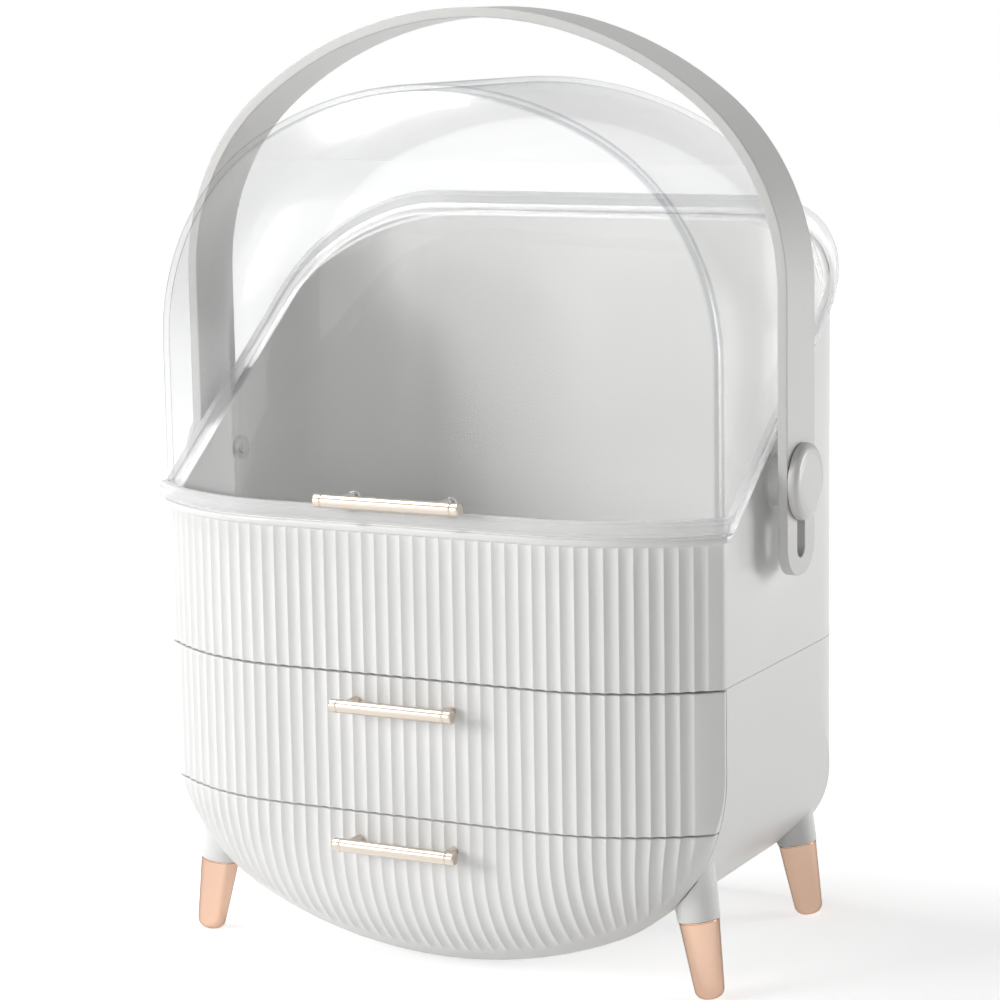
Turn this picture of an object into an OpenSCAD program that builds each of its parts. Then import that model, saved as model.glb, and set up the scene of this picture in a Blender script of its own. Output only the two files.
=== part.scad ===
// Countertop cosmetics organizer: a round-bottomed casing on four splayed feet
// with two reeded drawers, a reeded open tray on top, a clear hinged dust cover
// with a slanted seat, and a flat carrying handle on slotted side pivots.
// Units are millimetres. +X is the right side, +Y the back, +Z up.
// The origin is on the ground in the middle of the bounding box.

/* [Body] */
// Width across the flat sides of the casing
body_w = 280; // [264:1:290]
// Depth from the front plane of the casing to its back
body_depth = 165; // [155:1:185]
// Gap between the lowest point of the belly and the ground
belly_z = 4.8; // [4:0.1:6]
// Radius of the broad arc under the belly
belly_r = 222; // [218:1:232]
// Radius of the two lower corner arcs
corner_r = 85.7; // [84:0.1:88]
// Radius of the rear upright corners
rear_r = 53; // [46:1:56]
// Wall thickness of the casing and tray
wall = 3; // [2.6:0.1:3.4]
// Height of the joint between casing and tray
tray_z = 141; // [139:0.5:143]
// Height of the joint between the two drawers
shelf_z = 77.4; // [76:0.2:79]

/* [Bowed reeded front] */
// Depth of the bow in front of its edge band
bow_depth = 31.4; // [26:0.2:34]
// Distance over which the bow falls away to each side
bow_run = 76; // [70:1:80]
// Thickness of the edge band around each front
edge_t = 2; // [1.6:0.1:3]
// Height over which the lower front sweeps in
sweep_run = 54; // [48:1:60]
// Distance between neighbouring grooves along the curve
reed_pitch = 6.42; // [6.2:0.02:6.5]
// Height of one reed
reed_h = 1.2; // [0.8:0.1:1.4]
// Number of reeds across the tray
tray_reeds = 44; // [36:2:44]
// Number of reeds across each drawer
drawer_reeds = 42; // [34:2:42]
// Plain border under the reeds of the lower drawer
plain_border = 7; // [5:0.5:10]
// Wall thickness of the hollow drawer fronts
front_wall = 3.2; // [2.6:0.1:3.6]

/* [Slanted rim and dust cover] */
// Height of the tray rim at the front
rim_z = 208.4; // [204:0.2:212]
// Rise of the rim per millimetre towards the back
rim_slope = 0.75; // [0.6:0.01:0.8]
// Height of the white lip under the cover
lip_h = 3.6; // [3:0.1:5]
// How far the white lip stands out
lip_out = 2; // [1:0.1:2.5]
// Height of the top of the cover
cover_top = 398; // [390:1:400]
// Radius of the broad arc on top of the cover
cover_r = 172; // [166:1:178]
// Radius of the two upper corner arcs of the cover
cover_corner_r = 109; // [105:1:111]
// Wall thickness of the cover
cover_wall = 2.5; // [2:0.1:3]
// How far the flange of the cover stands out
flange_out = 4; // [3:0.1:4.5]
// Height of the flange of the cover
flange_h = 7; // [5:0.5:8]
// Clearance between cover and rim
cover_gap = 0.4; // [0.3:0.05:0.8]

/* [Cover hinge] */
// Distance of the hinge line behind the back wall
hinge_back = 5; // [5:0.1:6]
// Distance of the hinge line below the rear rim
hinge_drop = 4.7; // [4.5:0.1:6]
// Outer radius of the hinge knuckles
knuckle_r = 4; // [3.6:0.1:4.2]
// Diameter of the hinge pins
hinge_pin_d = 3.6; // [3:0.1:4]
// Distance of each hinge from the middle
hinge_x = 64; // [50:1:66]

/* [Handle] */
// Distance of the outer face of the handle arms from the side of the casing
handle_out = 12; // [11:0.5:14]
// Height of the top of the handle
handle_top = 430.5; // [428:0.5:436]
// Radius of the broad arc on top of the handle
handle_r = 180; // [176:1:186]
// Radius of the two upper corner arcs of the handle
handle_corner_r = 107; // [104:1:110]
// Thickness of the handle strip
handle_t = 4.5; // [4:0.1:4.8]
// Width of the handle strip
handle_w = 32; // [26:1:36]
// Distance of the handle pivots behind the front plane
pivot_y = 56; // [52:1:60]
// Height of the handle pivots
pivot_z = 223.5; // [220:0.5:226]
// Length of lift that the arm slots allow
slot_lift = 29.2; // [28.5:0.1:30]
// Width of the arm slots
slot_w = 9.2; // [8:0.1:10]
// Distance from the pivots down to the arm ends
arm_below = 41.5; // [41:0.5:44]
// Diameter of the pivot knobs
knob_d = 36; // [32:1:40]

/* [Feet] */
// Distance of the front feet from the middle
front_foot_x = 129.3; // [127:0.1:131]
// Distance of the front feet behind the front plane
front_foot_y = 6.2; // [5:0.1:12]
// Distance of the rear feet from the middle
rear_foot_x = 122.1; // [119:0.1:124]
// Distance of the rear feet behind the front plane
rear_foot_y = 142.2; // [136:0.1:144]
// Outward lean of the feet in degrees
foot_splay = 9.7; // [7:0.1:11]
// Length of the metal foot tips
tip_len = 35.6; // [32:0.2:38]
// Diameter of a foot tip at its joint
tip_d = 18; // [16:0.1:19]
// Diameter of a foot tip near the ground
tip_end_d = 15.2; // [13:0.1:16]

/* [Pulls] */
// Diameter of the pull bars
bar_d = 6; // [5:0.1:7]
// Distance of the bar axis in front of the front plane
bar_y = 44; // [43:0.5:48]
// Length of the drawer pulls
pull_len = 61; // [50:1:70]
// Length of the cover bar
cover_bar_len = 72; // [60:1:80]
// Height of the upper drawer pull
pull_1_z = 127.8; // [112:0.2:129]
// Height of the lower drawer pull
pull_2_z = 64.6; // [60:0.2:66]
// Height of the cover bar
cover_bar_z = 219; // [218:0.2:224]

/* [Hidden] */
$fn = 96;
half = body_w / 2;
front_y = edge_t + bow_depth;
bow_r = (bow_run * bow_run + bow_depth * bow_depth) / (2 * bow_depth);
bow_flat = half - bow_run;
belly_cx = half - corner_r;
belly_cz = belly_z + belly_r;
corner_z = belly_cz - rise(belly_r, corner_r, half);
handle_half = half + handle_out;
cover_cx = half - cover_corner_r;
cover_cz = cover_top - cover_r;
cover_sz = cover_cz + rise(cover_r, cover_corner_r, half);
handle_cx = handle_half - handle_corner_r;
handle_cz = handle_top - handle_r;
handle_sz = handle_cz + rise(handle_r, handle_corner_r, handle_half);
rim_start = 2;                       // the rim starts to rise here
rim_back = rim_z + rim_slope * (body_depth - rim_start);
hinge_y = body_depth + hinge_back;
hinge_z = rim_back - hinge_drop;
front_reach = bar_y + bar_d / 2;
back_reach = hinge_y + knuckle_r;
mid_y = (back_reach - front_reach) / 2;   // moves the part to the middle
front_gap = 0.4;                     // between drawer fronts and casing edge
seam_1 = 1.8;                        // gap under the tray front
seam_2 = 0.8;                        // gap between the drawer fronts
d1_lo = shelf_z + seam_2 / 2;
d1_hi = tray_z - seam_1;
d2_hi = shelf_z - seam_2 / 2;
shelf_t = 2.4;
shelf_top = shelf_z + 0.6;
box_wall = 2.2;
box_1_z = shelf_top + 0.5;
box_1_top = tray_z - 3.5;
box_1_in = wall + 4;                 // inset of the upper box from the body outline
box_2_in = wall + 0.6;               // inset of the lower box from the body outline
box_2_top = shelf_top - shelf_t - 3.6;
tab_t = 2.6;
stem_x = 24;                         // pull stems from the middle
stem_d = 4.6;
screw_d = 2.8;
bore_d = 2.9;
d1_screws = [[-95, 92], [95, 92], [-95, 125], [95, 125]];
d2_screws = [[-88, 63], [88, 63], [-48, 28], [48, 28]];
tray_screws_at = [[-126, 26], [126, 26], [-112, 134], [112, 134]];
slot_fit = 0.08;                     // running fit of the pivot in the slot
pin_fit = 0.05;
boss_x = handle_half - handle_t - 0.7;
knob_x = handle_half + 0.3;
sweep_c = 0.5;                       // how far the outer reeds lean in
reed_shape = [[0, 0.04], [0.1, 0.6], [0.28, 0.92], [0.5, 1], [0.72, 0.92], [0.9, 0.6],
              [1, 0.04]];
reed_steps = [0, 0.1, 0.28, 0.5, 0.72, 0.9];

// Height between the centres of a broad arc and its corner arcs.
function rise(big, small, reach) = sqrt(pow(big - small, 2) - pow(reach - small, 2));

// Height of the belly outline at x, set in by t.
function belly_at(x, t) =
    abs(x) <= (belly_r - t) * belly_cx / (belly_r - corner_r)
    ? belly_cz - sqrt(pow(belly_r - t, 2) - x * x)
    : corner_z - sqrt(max(0, pow(corner_r - t, 2) - pow(abs(x) - belly_cx, 2)));

// Half width of the belly outline at height z, set in by t.
function belly_w(z, t) =
    z >= corner_z ? half - t
    : z >= belly_cz - (belly_r - t) * (belly_cz - corner_z) / (belly_r - corner_r)
    ? belly_cx + sqrt(pow(corner_r - t, 2) - pow(corner_z - z, 2))
    : sqrt(pow(belly_r - t, 2) - pow(belly_cz - z, 2));

// Depth of the bowed plan curve at x, set in by t.
function bow_at(x, t) =
    half - abs(x) >= bow_run ? front_y - t
    : front_y - bow_r + sqrt(pow(bow_r - t, 2) - pow(bow_run - half + abs(x), 2));

// Rounded sweep of the lower front, 0 at its edge and 1 above the sweep.
swell_r = (sweep_run * sweep_run + bow_depth * bow_depth) / (2 * bow_depth);
function sweep(q) =
    q >= 1 ? 1 : q <= 0 ? 0
    : 1 - swell_r / bow_depth
      + sqrt(pow(swell_r, 2) - pow(sweep_run * (1 - q), 2)) / bow_depth;

// Depth of the lower drawer front at x and z, set in by t.
function lower_y(x, z, t, top) =
    let (lo = belly_at(x, t), run = max(0.5, min(sweep_run, top - lo)))
    -(edge_t + (bow_at(x, t) - edge_t) * sweep((z - lo) / run));

// Outward direction of the lower drawer front at x and z.
function lower_n(x, z, top) =
    let (gx = lower_y(x + 0.4, z, 0, top) - lower_y(x - 0.4, z, 0, top),
         gz = z >= top - 0.1 ? 0 : lower_y(x, z + 0.4, 0, top) - lower_y(x, z - 0.4, 0, top),
         v = [gx / 0.8, -1, gz / 0.8])
    v / norm(v);

// Point on the bowed plan curve at arc length s, set out by h.
function bow_point(s, h) =
    abs(s) <= bow_flat ? [s, -front_y - h]
    : let (q = (abs(s) - bow_flat) / bow_r * 180 / PI)
      [sign(s) * (bow_flat + (bow_r + h) * sin(q)), bow_r - front_y - (bow_r + h) * cos(q)];

// Arc lengths of all reed points and the reed height at each.
function reed_s(count) = [for (k = [-count / 2 : count / 2 - 1]) for (p = reed_steps)
                          (k + p) * reed_pitch];
function reed_at(s) = let (q = s / reed_pitch) lookup(q - floor(q), reed_shape);

// Region bounded by a broad arc and two corner arcs, set in by t.
module three_arc(big, small, cx, bz, sz, reach, t, far) {
    k = 2.2 * big / abs(sz - bz);
    intersection() {
        translate([0, bz]) circle(r = big - t, $fn = 180);
        polygon([[0, bz], [-k * cx, bz + k * (sz - bz)], [k * cx, bz + k * (sz - bz)]]);
    }
    for (s = [-1, 1]) translate([s * cx, sz]) circle(r = small - t, $fn = 128);
    mid = sz + (sz - far) / abs(sz - far) * small / 2;
    polygon([[-reach + t, far], [-reach + t, sz], [-cx, mid], [cx, mid], [reach - t, sz],
             [reach - t, far]]);
}

module belly_outline(t) {
    three_arc(belly_r, corner_r, belly_cx, belly_cz, corner_z, half, t, 360);
}

module handle_arch(t) {
    three_arc(handle_r, handle_corner_r, handle_cx, handle_cz, handle_sz, handle_cx + t, t,
              handle_sz - 20);
}

// Plan of the body: bowed front, straight sides, rounded rear corners.
module plan(t) {
    intersection() {
        union() {
            translate([-bow_flat, t - front_y]) square([2 * bow_flat, 200]);
            for (s = [-1, 1]) translate([s * bow_flat, bow_r - front_y])
                circle(r = bow_r - t, $fn = 180);
            translate([t - half, 30]) square([2 * half - 2 * t, 200]);
        }
        union() {
            translate([t - half, -80]) square([2 * half - 2 * t, body_depth - rear_r + 80]);
            translate([rear_r - half, -80])
                square([2 * (half - rear_r), body_depth - t + 80]);
            for (s = [-1, 1]) translate([s * (half - rear_r), body_depth - rear_r])
                circle(r = rear_r - t, $fn = 128);
        }
    }
}

module reeded_plan(count) {
    s = reed_s(count);
    e = count / 2 * reed_pitch;
    plan(0);
    polygon(concat([for (q = s) bow_point(q, reed_h * reed_at(q))],
                   [bow_point(e, 0.05), [bow_point(e, 0)[0], 4], [bow_point(-e, 0)[0], 4]]));
}

// Everything between two heights above the rim line.
module rim_slab(lo, hi) {
    y1 = body_depth + 30;
    z1 = rim_slope * (y1 - rim_start);
    rotate([90, 0, 90]) linear_extrude(height = 400, center = true)
        polygon([[-80, rim_z + lo], [rim_start, rim_z + lo], [y1, rim_z + z1 + lo],
                 [y1, rim_z + z1 + hi], [rim_start, rim_z + hi], [-80, rim_z + hi]]);
}

module along_y(y0, y1) {
    translate([0, y1, 0]) rotate([90, 0, 0]) linear_extrude(height = y1 - y0) children();
}

module rod_x(x0, x1, y, z, d) {
    translate([x0, y, z]) rotate([0, 90, 0]) cylinder(d = d, h = x1 - x0);
}

module rod_y(x, z, y0, y1, d) {
    translate([x, y0, z]) rotate([-90, 0, 0]) cylinder(d = d, h = y1 - y0);
}

module box_at(lo, hi) {
    translate(lo) cube(hi - lo);
}

module placed() {
    translate([0, -mid_y, 0]) children();
}

module foot_axis(side, rear) {
    fx = rear ? rear_foot_x : front_foot_x;
    fy = rear ? rear_foot_y : front_foot_y;
    translate([side * fx, fy, 0]) rotate([rear ? 2 : -2, -side * foot_splay, 0]) children();
}

module casing() {
    color("white") placed() difference() {
        union() {
            difference() {
                intersection() {
                    along_y(0, body_depth) belly_outline(0);
                    linear_extrude(height = tray_z) plan(0);
                }
                intersection() {
                    along_y(-1, body_depth - wall) belly_outline(wall);
                    translate([0, 0, -1]) linear_extrude(height = tray_z + 2) plan(wall);
                }
            }
            difference() {
                for (s = [-1, 1]) for (r = [false, true]) foot_axis(s, r) {
                    translate([0, 0, tip_len]) cylinder(d1 = tip_d + 1, d2 = tip_d + 3.6, h = 32);
                    translate([0, 0, tip_len - 12]) cylinder(d = 8, h = 14);
                }
                along_y(-60, body_depth - wall) belly_outline(wall - 0.3);
                along_y(-60, 0) belly_outline(-0.5);
            }
            intersection() {
                union() {
                    for (s = [-1, 1]) translate([s * 134, 80, shelf_top - shelf_t - 1.4])
                        cube([16, 150, 2.8], center = true);
                    for (p = tray_screws_at) translate([p[0], p[1], tray_z - tab_t / 2])
                        cube([32, 30, tab_t], center = true);
                }
                along_y(2, body_depth - 1) belly_outline(1);
                linear_extrude(height = tray_z) plan(1);
            }
        }
        for (p = tray_screws_at) translate([p[0], p[1], tray_z - 5])
            cylinder(d = bore_d, h = 10);
    }
}

module divider_shelf() {
    color("white") placed() intersection() {
        translate([0, 0, shelf_top - shelf_t]) linear_extrude(height = shelf_t) plan(wall + 0.3);
        along_y(3, body_depth) belly_outline(wall + 0.3);
    }
}

module foot_tip(side, rear) {
    color("peru") placed() intersection() {
        foot_axis(side, rear) difference() {
            union() {
                translate([0, 0, tip_end_d / 2 - 0.6]) sphere(d = tip_end_d, $fn = 64);
                translate([0, 0, tip_end_d / 2 - 0.6])
                    cylinder(d1 = tip_end_d, d2 = tip_d, h = tip_len - tip_end_d / 2 + 0.6);
            }
            translate([0, 0, tip_len - 12.5]) cylinder(d = 8.1, h = 14);
        }
        translate([-200, -100, 0]) cube([400, 400, 60]);
    }
}

module front_left_foot_tip() { foot_tip(-1, false); }
module front_right_foot_tip() { foot_tip(1, false); }
module rear_left_foot_tip() { foot_tip(-1, true); }
module rear_right_foot_tip() { foot_tip(1, true); }

module upper_tray() {
    color("white") placed() difference() {
        union() {
            intersection() {
                union() {
                    translate([0, 0, tray_z]) linear_extrude(height = rim_back - tray_z + 10) plan(0);
                    translate([0, 0, tray_z]) linear_extrude(height = rim_z - lip_h - tray_z)
                        reeded_plan(tray_reeds);
                }
                rim_slab(-400, 0);
            }
            intersection() {
                translate([0, 0, tray_z]) linear_extrude(height = 220) plan(-lip_out);
                rim_slab(-lip_h, 0);
            }
            for (s = [-1, 1]) {
                rod_x(s > 0 ? half - 1 : -boss_x, s > 0 ? boss_x : 1 - half, pivot_y, pivot_z, 22);
                for (e = [[-16, -8], [8, 16]]) {
                    rod_x(s * hinge_x + e[0], s * hinge_x + e[1], hinge_y, hinge_z, 2 * knuckle_r);
                    box_at([s * hinge_x + e[0], body_depth - 1, hinge_z - 8],
                           [s * hinge_x + e[1], hinge_y, hinge_z]);
                }
            }
        }
        translate([0, 0, tray_z + wall]) linear_extrude(height = 260) plan(wall);
        difference() {
            translate([0, 0, tray_z - 1]) linear_extrude(height = 1.6) plan(-3);
            translate([0, 0, tray_z - 2]) linear_extrude(height = 4) plan(0.6);
            box_at([-200, -80, tray_z - 2], [200, -0.5, tray_z + 4]);
        }
        for (s = [-1, 1]) {
            rod_x(s > 0 ? half - 10 : -boss_x - 2, s > 0 ? boss_x + 2 : 10 - half,
                  pivot_y, pivot_z, 6.1);
            rod_x(s * hinge_x - 18, s * hinge_x + 18, hinge_y, hinge_z, hinge_pin_d + 2 * pin_fit);
            box_at([s * hinge_x - 8, body_depth, hinge_z - 10], [s * hinge_x + 8, hinge_y + 9, 400]);
        }
        for (p = tray_screws_at) translate([p[0], p[1], tray_z - 2])
            cylinder(d = screw_d + 0.4, h = 8);
    }
}

module tray_screws() {
    color("silver") placed() for (p = tray_screws_at) translate([p[0], p[1], tray_z + wall]) {
        difference() {
            cylinder(d = 5.6, h = 1.8);
            translate([0, 0, 0.9]) for (a = [0, 90]) rotate(a) translate([0, 0, 1])
                cube([3.2, 0.7, 2], center = true);
        }
        translate([0, 0, -wall - tab_t + 0.3]) cylinder(d = screw_d, h = wall + tab_t);
    }
}

// Hollow bowed front of the upper drawer, reeded on the outside.
module drawer_1_front() {
    color("white") placed() difference() {
        union() {
            difference() {
                intersection() {
                    translate([0, 0, d1_lo]) linear_extrude(height = d1_hi - d1_lo)
                        reeded_plan(drawer_reeds);
                    along_y(-60, -front_gap) belly_outline(0);
                }
                intersection() {
                    translate([0, 0, d1_lo + front_wall])
                        linear_extrude(height = d1_hi - d1_lo - 2 * front_wall) plan(front_wall);
                    along_y(-60, 10) belly_outline(front_wall);
                }
            }
            for (p = d1_screws) rod_y(p[0], p[1], 1.5 - bow_at(p[0], 0), -front_gap, 8);
        }
        for (p = d1_screws) rod_y(p[0], p[1], -13, 1, bore_d);
        pull_seats(pull_1_z);
    }
}

module pull_seats(z) {
    for (s = [-1, 1]) {
        rod_y(s * stem_x, z, -front_y - 5, -front_y + 1.2, stem_d + 0.1);
        rod_y(s * stem_x, z, -front_y, -front_y + 6, bore_d + 0.1);
    }
}

// Solid under the swept lower front: columns from the belly edge up to the top.
module lower_front(xs, hs, rows, t, top, back) {
    n = len(xs);
    m = len(rows);
    w_top = belly_w(top, t);
    c = [for (x = xs) sweep_c * pow(max(0, abs(x) - 75) / 55, 1.5) * (t == 0 ? 1 : 0)];
    lo = [for (i = [0 : n - 1])
          belly_at((abs(xs[i]) - c[i] * w_top) / (1 - c[i]), t)];
    pts = [for (i = [0 : n - 1]) for (j = [0 : m - 1])
        let (z = lo[i] + (top - lo[i]) * rows[j],
             x = sign(xs[i]) * (j == 0 ? (abs(xs[i]) - c[i] * w_top) / (1 - c[i])
                                : abs(xs[i]) - c[i] * (w_top - belly_w(z, t))),
             y = lower_y(x, z, t, top),
             h = hs[i] * max(0, min(1, (z - lo[i] - plain_border) / 4)))
        h > 0 ? [x, y, z] + lower_n(x, z, top) * h : [x, y, z]];
    loop = concat([for (j = [0 : m - 1]) j],
                  [for (i = [1 : n - 1]) i * m + m - 1],
                  [for (j = [1 : m - 1]) (n - 1) * m + m - 1 - j],
                  [for (i = [1 : n - 2]) (n - 1 - i) * m]);
    k = len(loop);
    rear = [for (q = loop) [pts[q][0], back, pts[q][2]]];
    o = n * m;
    polyhedron(points = concat(pts, rear), convexity = 6, faces = concat(
        [for (i = [0 : n - 2]) for (j = [0 : m - 2])
            [i * m + j, i * m + j + 1, (i + 1) * m + j + 1]],
        [for (i = [0 : n - 2]) for (j = [0 : m - 2])
            [i * m + j, (i + 1) * m + j + 1, (i + 1) * m + j]],
        [for (i = [0 : k - 1]) let (p = (i + 1) % k) [loop[p], loop[i], o + i, o + p]],
        [[for (i = [0 : k - 1]) o + k - 1 - i]]));
}

// Hollow front of the lower drawer: its reeds sweep in under the belly.
module drawer_2_front() {
    s = reed_s(drawer_reeds);
    e = drawer_reeds / 2 * reed_pitch;
    side = belly_w(d2_hi, 0) - 0.2;
    lip = [for (q = [1, 0.55]) side - (side - bow_point(e, 0)[0]) * (1 - q)];
    xs = concat([-lip[0], -lip[1]], [for (q = s) bow_point(q, 0)[0]],
                [bow_point(e, 0)[0], lip[1], lip[0]]);
    hs = concat([0, 0], [for (q = s) reed_h * reed_at(q)], [0, 0, 0]);
    w = belly_w(d2_hi - front_wall, front_wall) - 0.4;
    color("white") placed() difference() {
        union() {
            difference() {
                lower_front(xs, hs, [0, 0.05, 0.12, 0.2, 0.3, 0.42, 0.56, 0.74, 1], 0,
                            d2_hi, -front_gap);
                lower_front([for (i = [-9 : 9]) w * sin(i * 10)], [for (i = [-9 : 9]) 0],
                            [0, 0.1, 0.25, 0.45, 0.7, 1], front_wall, d2_hi - front_wall, 2);
            }
            for (p = d2_screws)
                rod_y(p[0], p[1], lower_y(p[0], p[1], 0, d2_hi) + 1.8, -front_gap, 8);
        }
        for (p = d2_screws) rod_y(p[0], p[1], -11, 1, bore_d);
        pull_seats(pull_2_z);
        for (s = [-1, 1])
            rod_y(s * stem_x, pull_2_z, front_wall - front_y, front_wall - front_y + 4, 6.4);
    }
}

module drawer_1_box() {
    color("whitesmoke") placed() difference() {
        intersection() {
            translate([0, 0, box_1_z]) linear_extrude(height = box_1_top - box_1_z) plan(box_1_in);
            box_at([-150, -front_gap, 0], [150, 200, 200]);
        }
        intersection() {
            translate([0, 0, box_1_z + box_wall]) linear_extrude(height = 80)
                plan(box_1_in + box_wall);
            box_at([-150, -front_gap + box_wall, 0], [150, 200, 200]);
        }
        for (p = d1_screws) rod_y(p[0], p[1], -2, 5, screw_d + 0.4);
    }
}

module drawer_2_box() {
    color("whitesmoke") placed() difference() {
        intersection() {
            along_y(-front_gap, body_depth) belly_outline(box_2_in);
            linear_extrude(height = box_2_top) plan(box_2_in + 0.4);
        }
        intersection() {
            along_y(-front_gap + box_wall, body_depth) belly_outline(box_2_in + box_wall);
            linear_extrude(height = 100) plan(box_2_in + 0.4 + box_wall);
        }
        for (p = d2_screws) rod_y(p[0], p[1], -2, 5, screw_d + 0.4);
    }
}

module drawer_screws(at) {
    for (p = at) {
        rod_y(p[0], p[1], -10, box_wall - front_gap + 0.01, screw_d);
        difference() {
            rod_y(p[0], p[1], box_wall - front_gap, box_wall - front_gap + 1.8, 5.6);
            for (a = [0, 90]) translate([p[0], box_wall - front_gap + 1.8, p[1]])
                rotate([0, a, 0]) cube([3.2, 1.8, 0.7], center = true);
        }
    }
}

module drawer_1_front_screws() { color("silver") placed() drawer_screws(d1_screws); }
module drawer_2_front_screws() { color("silver") placed() drawer_screws(d2_screws); }

// Round bar with turned ends on two stems.
module bar(len, z, seat) {
    translate([0, -bar_y, z]) rotate([0, 90, 0]) rotate_extrude($fn = 48)
        polygon([[0, -len / 2], [bar_d / 2 - 0.6, -len / 2], [bar_d / 2, 0.6 - len / 2],
                 [bar_d / 2, 3.6 - len / 2], [bar_d / 2 - 0.3, 3.8 - len / 2],
                 [bar_d / 2 - 0.3, 4.2 - len / 2], [bar_d / 2, 4.4 - len / 2],
                 [bar_d / 2, len / 2 - 4.4], [bar_d / 2 - 0.3, len / 2 - 4.2],
                 [bar_d / 2 - 0.3, len / 2 - 3.8], [bar_d / 2, len / 2 - 3.6],
                 [bar_d / 2, len / 2 - 0.6], [bar_d / 2 - 0.6, len / 2], [0, len / 2]]);
    for (s = [-1, 1]) rod_y(s * stem_x, z, -bar_y, seat, stem_d);
}

module pull(z) {
    difference() {
        bar(pull_len, z, -front_y + 1.2);
        for (s = [-1, 1]) rod_y(s * stem_x, z, -front_y - 6, -front_y + 2, bore_d);
    }
}

module pull_screws(z, seat) {
    for (s = [-1, 1]) {
        rod_y(s * stem_x, z, -front_y - 5, seat + 0.01, screw_d);
        rod_y(s * stem_x, z, seat, seat + 1.8, 5.6);
    }
}

module drawer_1_pull() { color("tan") placed() pull(pull_1_z); }
module drawer_2_pull() { color("tan") placed() pull(pull_2_z); }
module drawer_1_pull_screws() {
    color("silver") placed() pull_screws(pull_1_z, -front_y + front_wall);
}
module drawer_2_pull_screws() {
    color("silver") placed() pull_screws(pull_2_z, -front_y + front_wall);
}

// One closed loop around the cover, set in by t, at depth y.
function cover_ring(t, y) =
    let (q = atan2(cover_sz - cover_cz, cover_cx), n = 12, z0 = 170)
    concat([[t - half, y, z0]],
           [for (i = [0 : n]) let (a = 180 - i * q / n)
            [-cover_cx + (cover_corner_r - t) * cos(a), y, cover_sz + (cover_corner_r - t) * sin(a)]],
           [for (i = [1 : n - 1]) let (a = 180 - q - i * (180 - 2 * q) / n)
            [(cover_r - t) * cos(a), y, cover_cz + (cover_r - t) * sin(a)]],
           [for (i = [0 : n]) let (a = q - i * q / n)
            [cover_cx + (cover_corner_r - t) * cos(a), y, cover_sz + (cover_corner_r - t) * sin(a)]],
           [[half - t, y, z0]]);

// Pillow-fronted, round-backed dome, set in by t.
module dome(t) {
    b = asin(bow_run / bow_r);
    edge = t == 0 ? [0, -edge_t] : [t, t * (1 - sin(b)) / cos(b) - edge_t];
    rings = concat(
        [for (i = [0 : 7]) let (a = i * b / 8)
         cover_ring(bow_run - (bow_r - t) * sin(a), bow_r - front_y - (bow_r - t) * cos(a))],
        [cover_ring(edge[0], edge[1])],
        [for (i = [0 : 7]) let (a = i * 90 / 7)
         cover_ring(rear_r - (rear_r - t) * cos(a),
                    body_depth - rear_r + (rear_r - t) * sin(a))]);
    n = len(rings[0]);
    m = len(rings);
    polyhedron(points = [for (r = rings) for (p = r) p], convexity = 4, faces = concat(
        [[for (i = [0 : n - 1]) i]],
        [[for (i = [0 : n - 1]) (m - 1) * n + n - 1 - i]],
        [for (k = [0 : m - 2]) for (i = [0 : n - 1]) let (j = (i + 1) % n)
            [k * n + i, (k + 1) * n + i, (k + 1) * n + j]],
        [for (k = [0 : m - 2]) for (i = [0 : n - 1]) let (j = (i + 1) % n)
            [k * n + i, (k + 1) * n + j, k * n + j]]));
}

module lid_cover() {
    color("lightcyan", 0.4) placed() difference() {
        union() {
            intersection() {
                difference() {
                    dome(0);
                    dome(cover_wall);
                }
                rim_slab(cover_gap, 400);
            }
            intersection() {
                linear_extrude(height = 400) difference() {
                    plan(-flange_out);
                    plan(cover_wall / 2);
                }
                rim_slab(cover_gap, cover_gap + flange_h);
            }
            for (s = [-1, 1]) {
                rod_x(s * hinge_x - 7.6, s * hinge_x + 7.6, hinge_y, hinge_z, 2 * knuckle_r);
                box_at([s * hinge_x - 7.6, hinge_y - knuckle_r, hinge_z],
                       [s * hinge_x + 7.6, hinge_y + knuckle_r - 1, rim_back + flange_h]);
            }
        }
        for (s = [-1, 1]) {
            rod_x(s * hinge_x - 18, s * hinge_x + 18, hinge_y, hinge_z, hinge_pin_d + 2 * pin_fit);
            rod_y(s * stem_x, cover_bar_z, -front_y - 6, -front_y + 6, bore_d + 0.1);
        }
    }
}

module lid_bar() {
    color("tan") placed() difference() {
        bar(cover_bar_len, cover_bar_z, -front_y);
        for (s = [-1, 1]) rod_y(s * stem_x, cover_bar_z, -front_y - 6, -front_y + 2, bore_d);
    }
}

module lid_bar_screws() {
    color("silver") placed() pull_screws(cover_bar_z, -front_y + cover_wall);
}

module hinge_pin(side) {
    color("silver") placed()
        rod_x(side * hinge_x - 16, side * hinge_x + 16, hinge_y, hinge_z, hinge_pin_d);
}

module left_hinge_pin() { hinge_pin(-1); }
module right_hinge_pin() { hinge_pin(1); }

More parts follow.
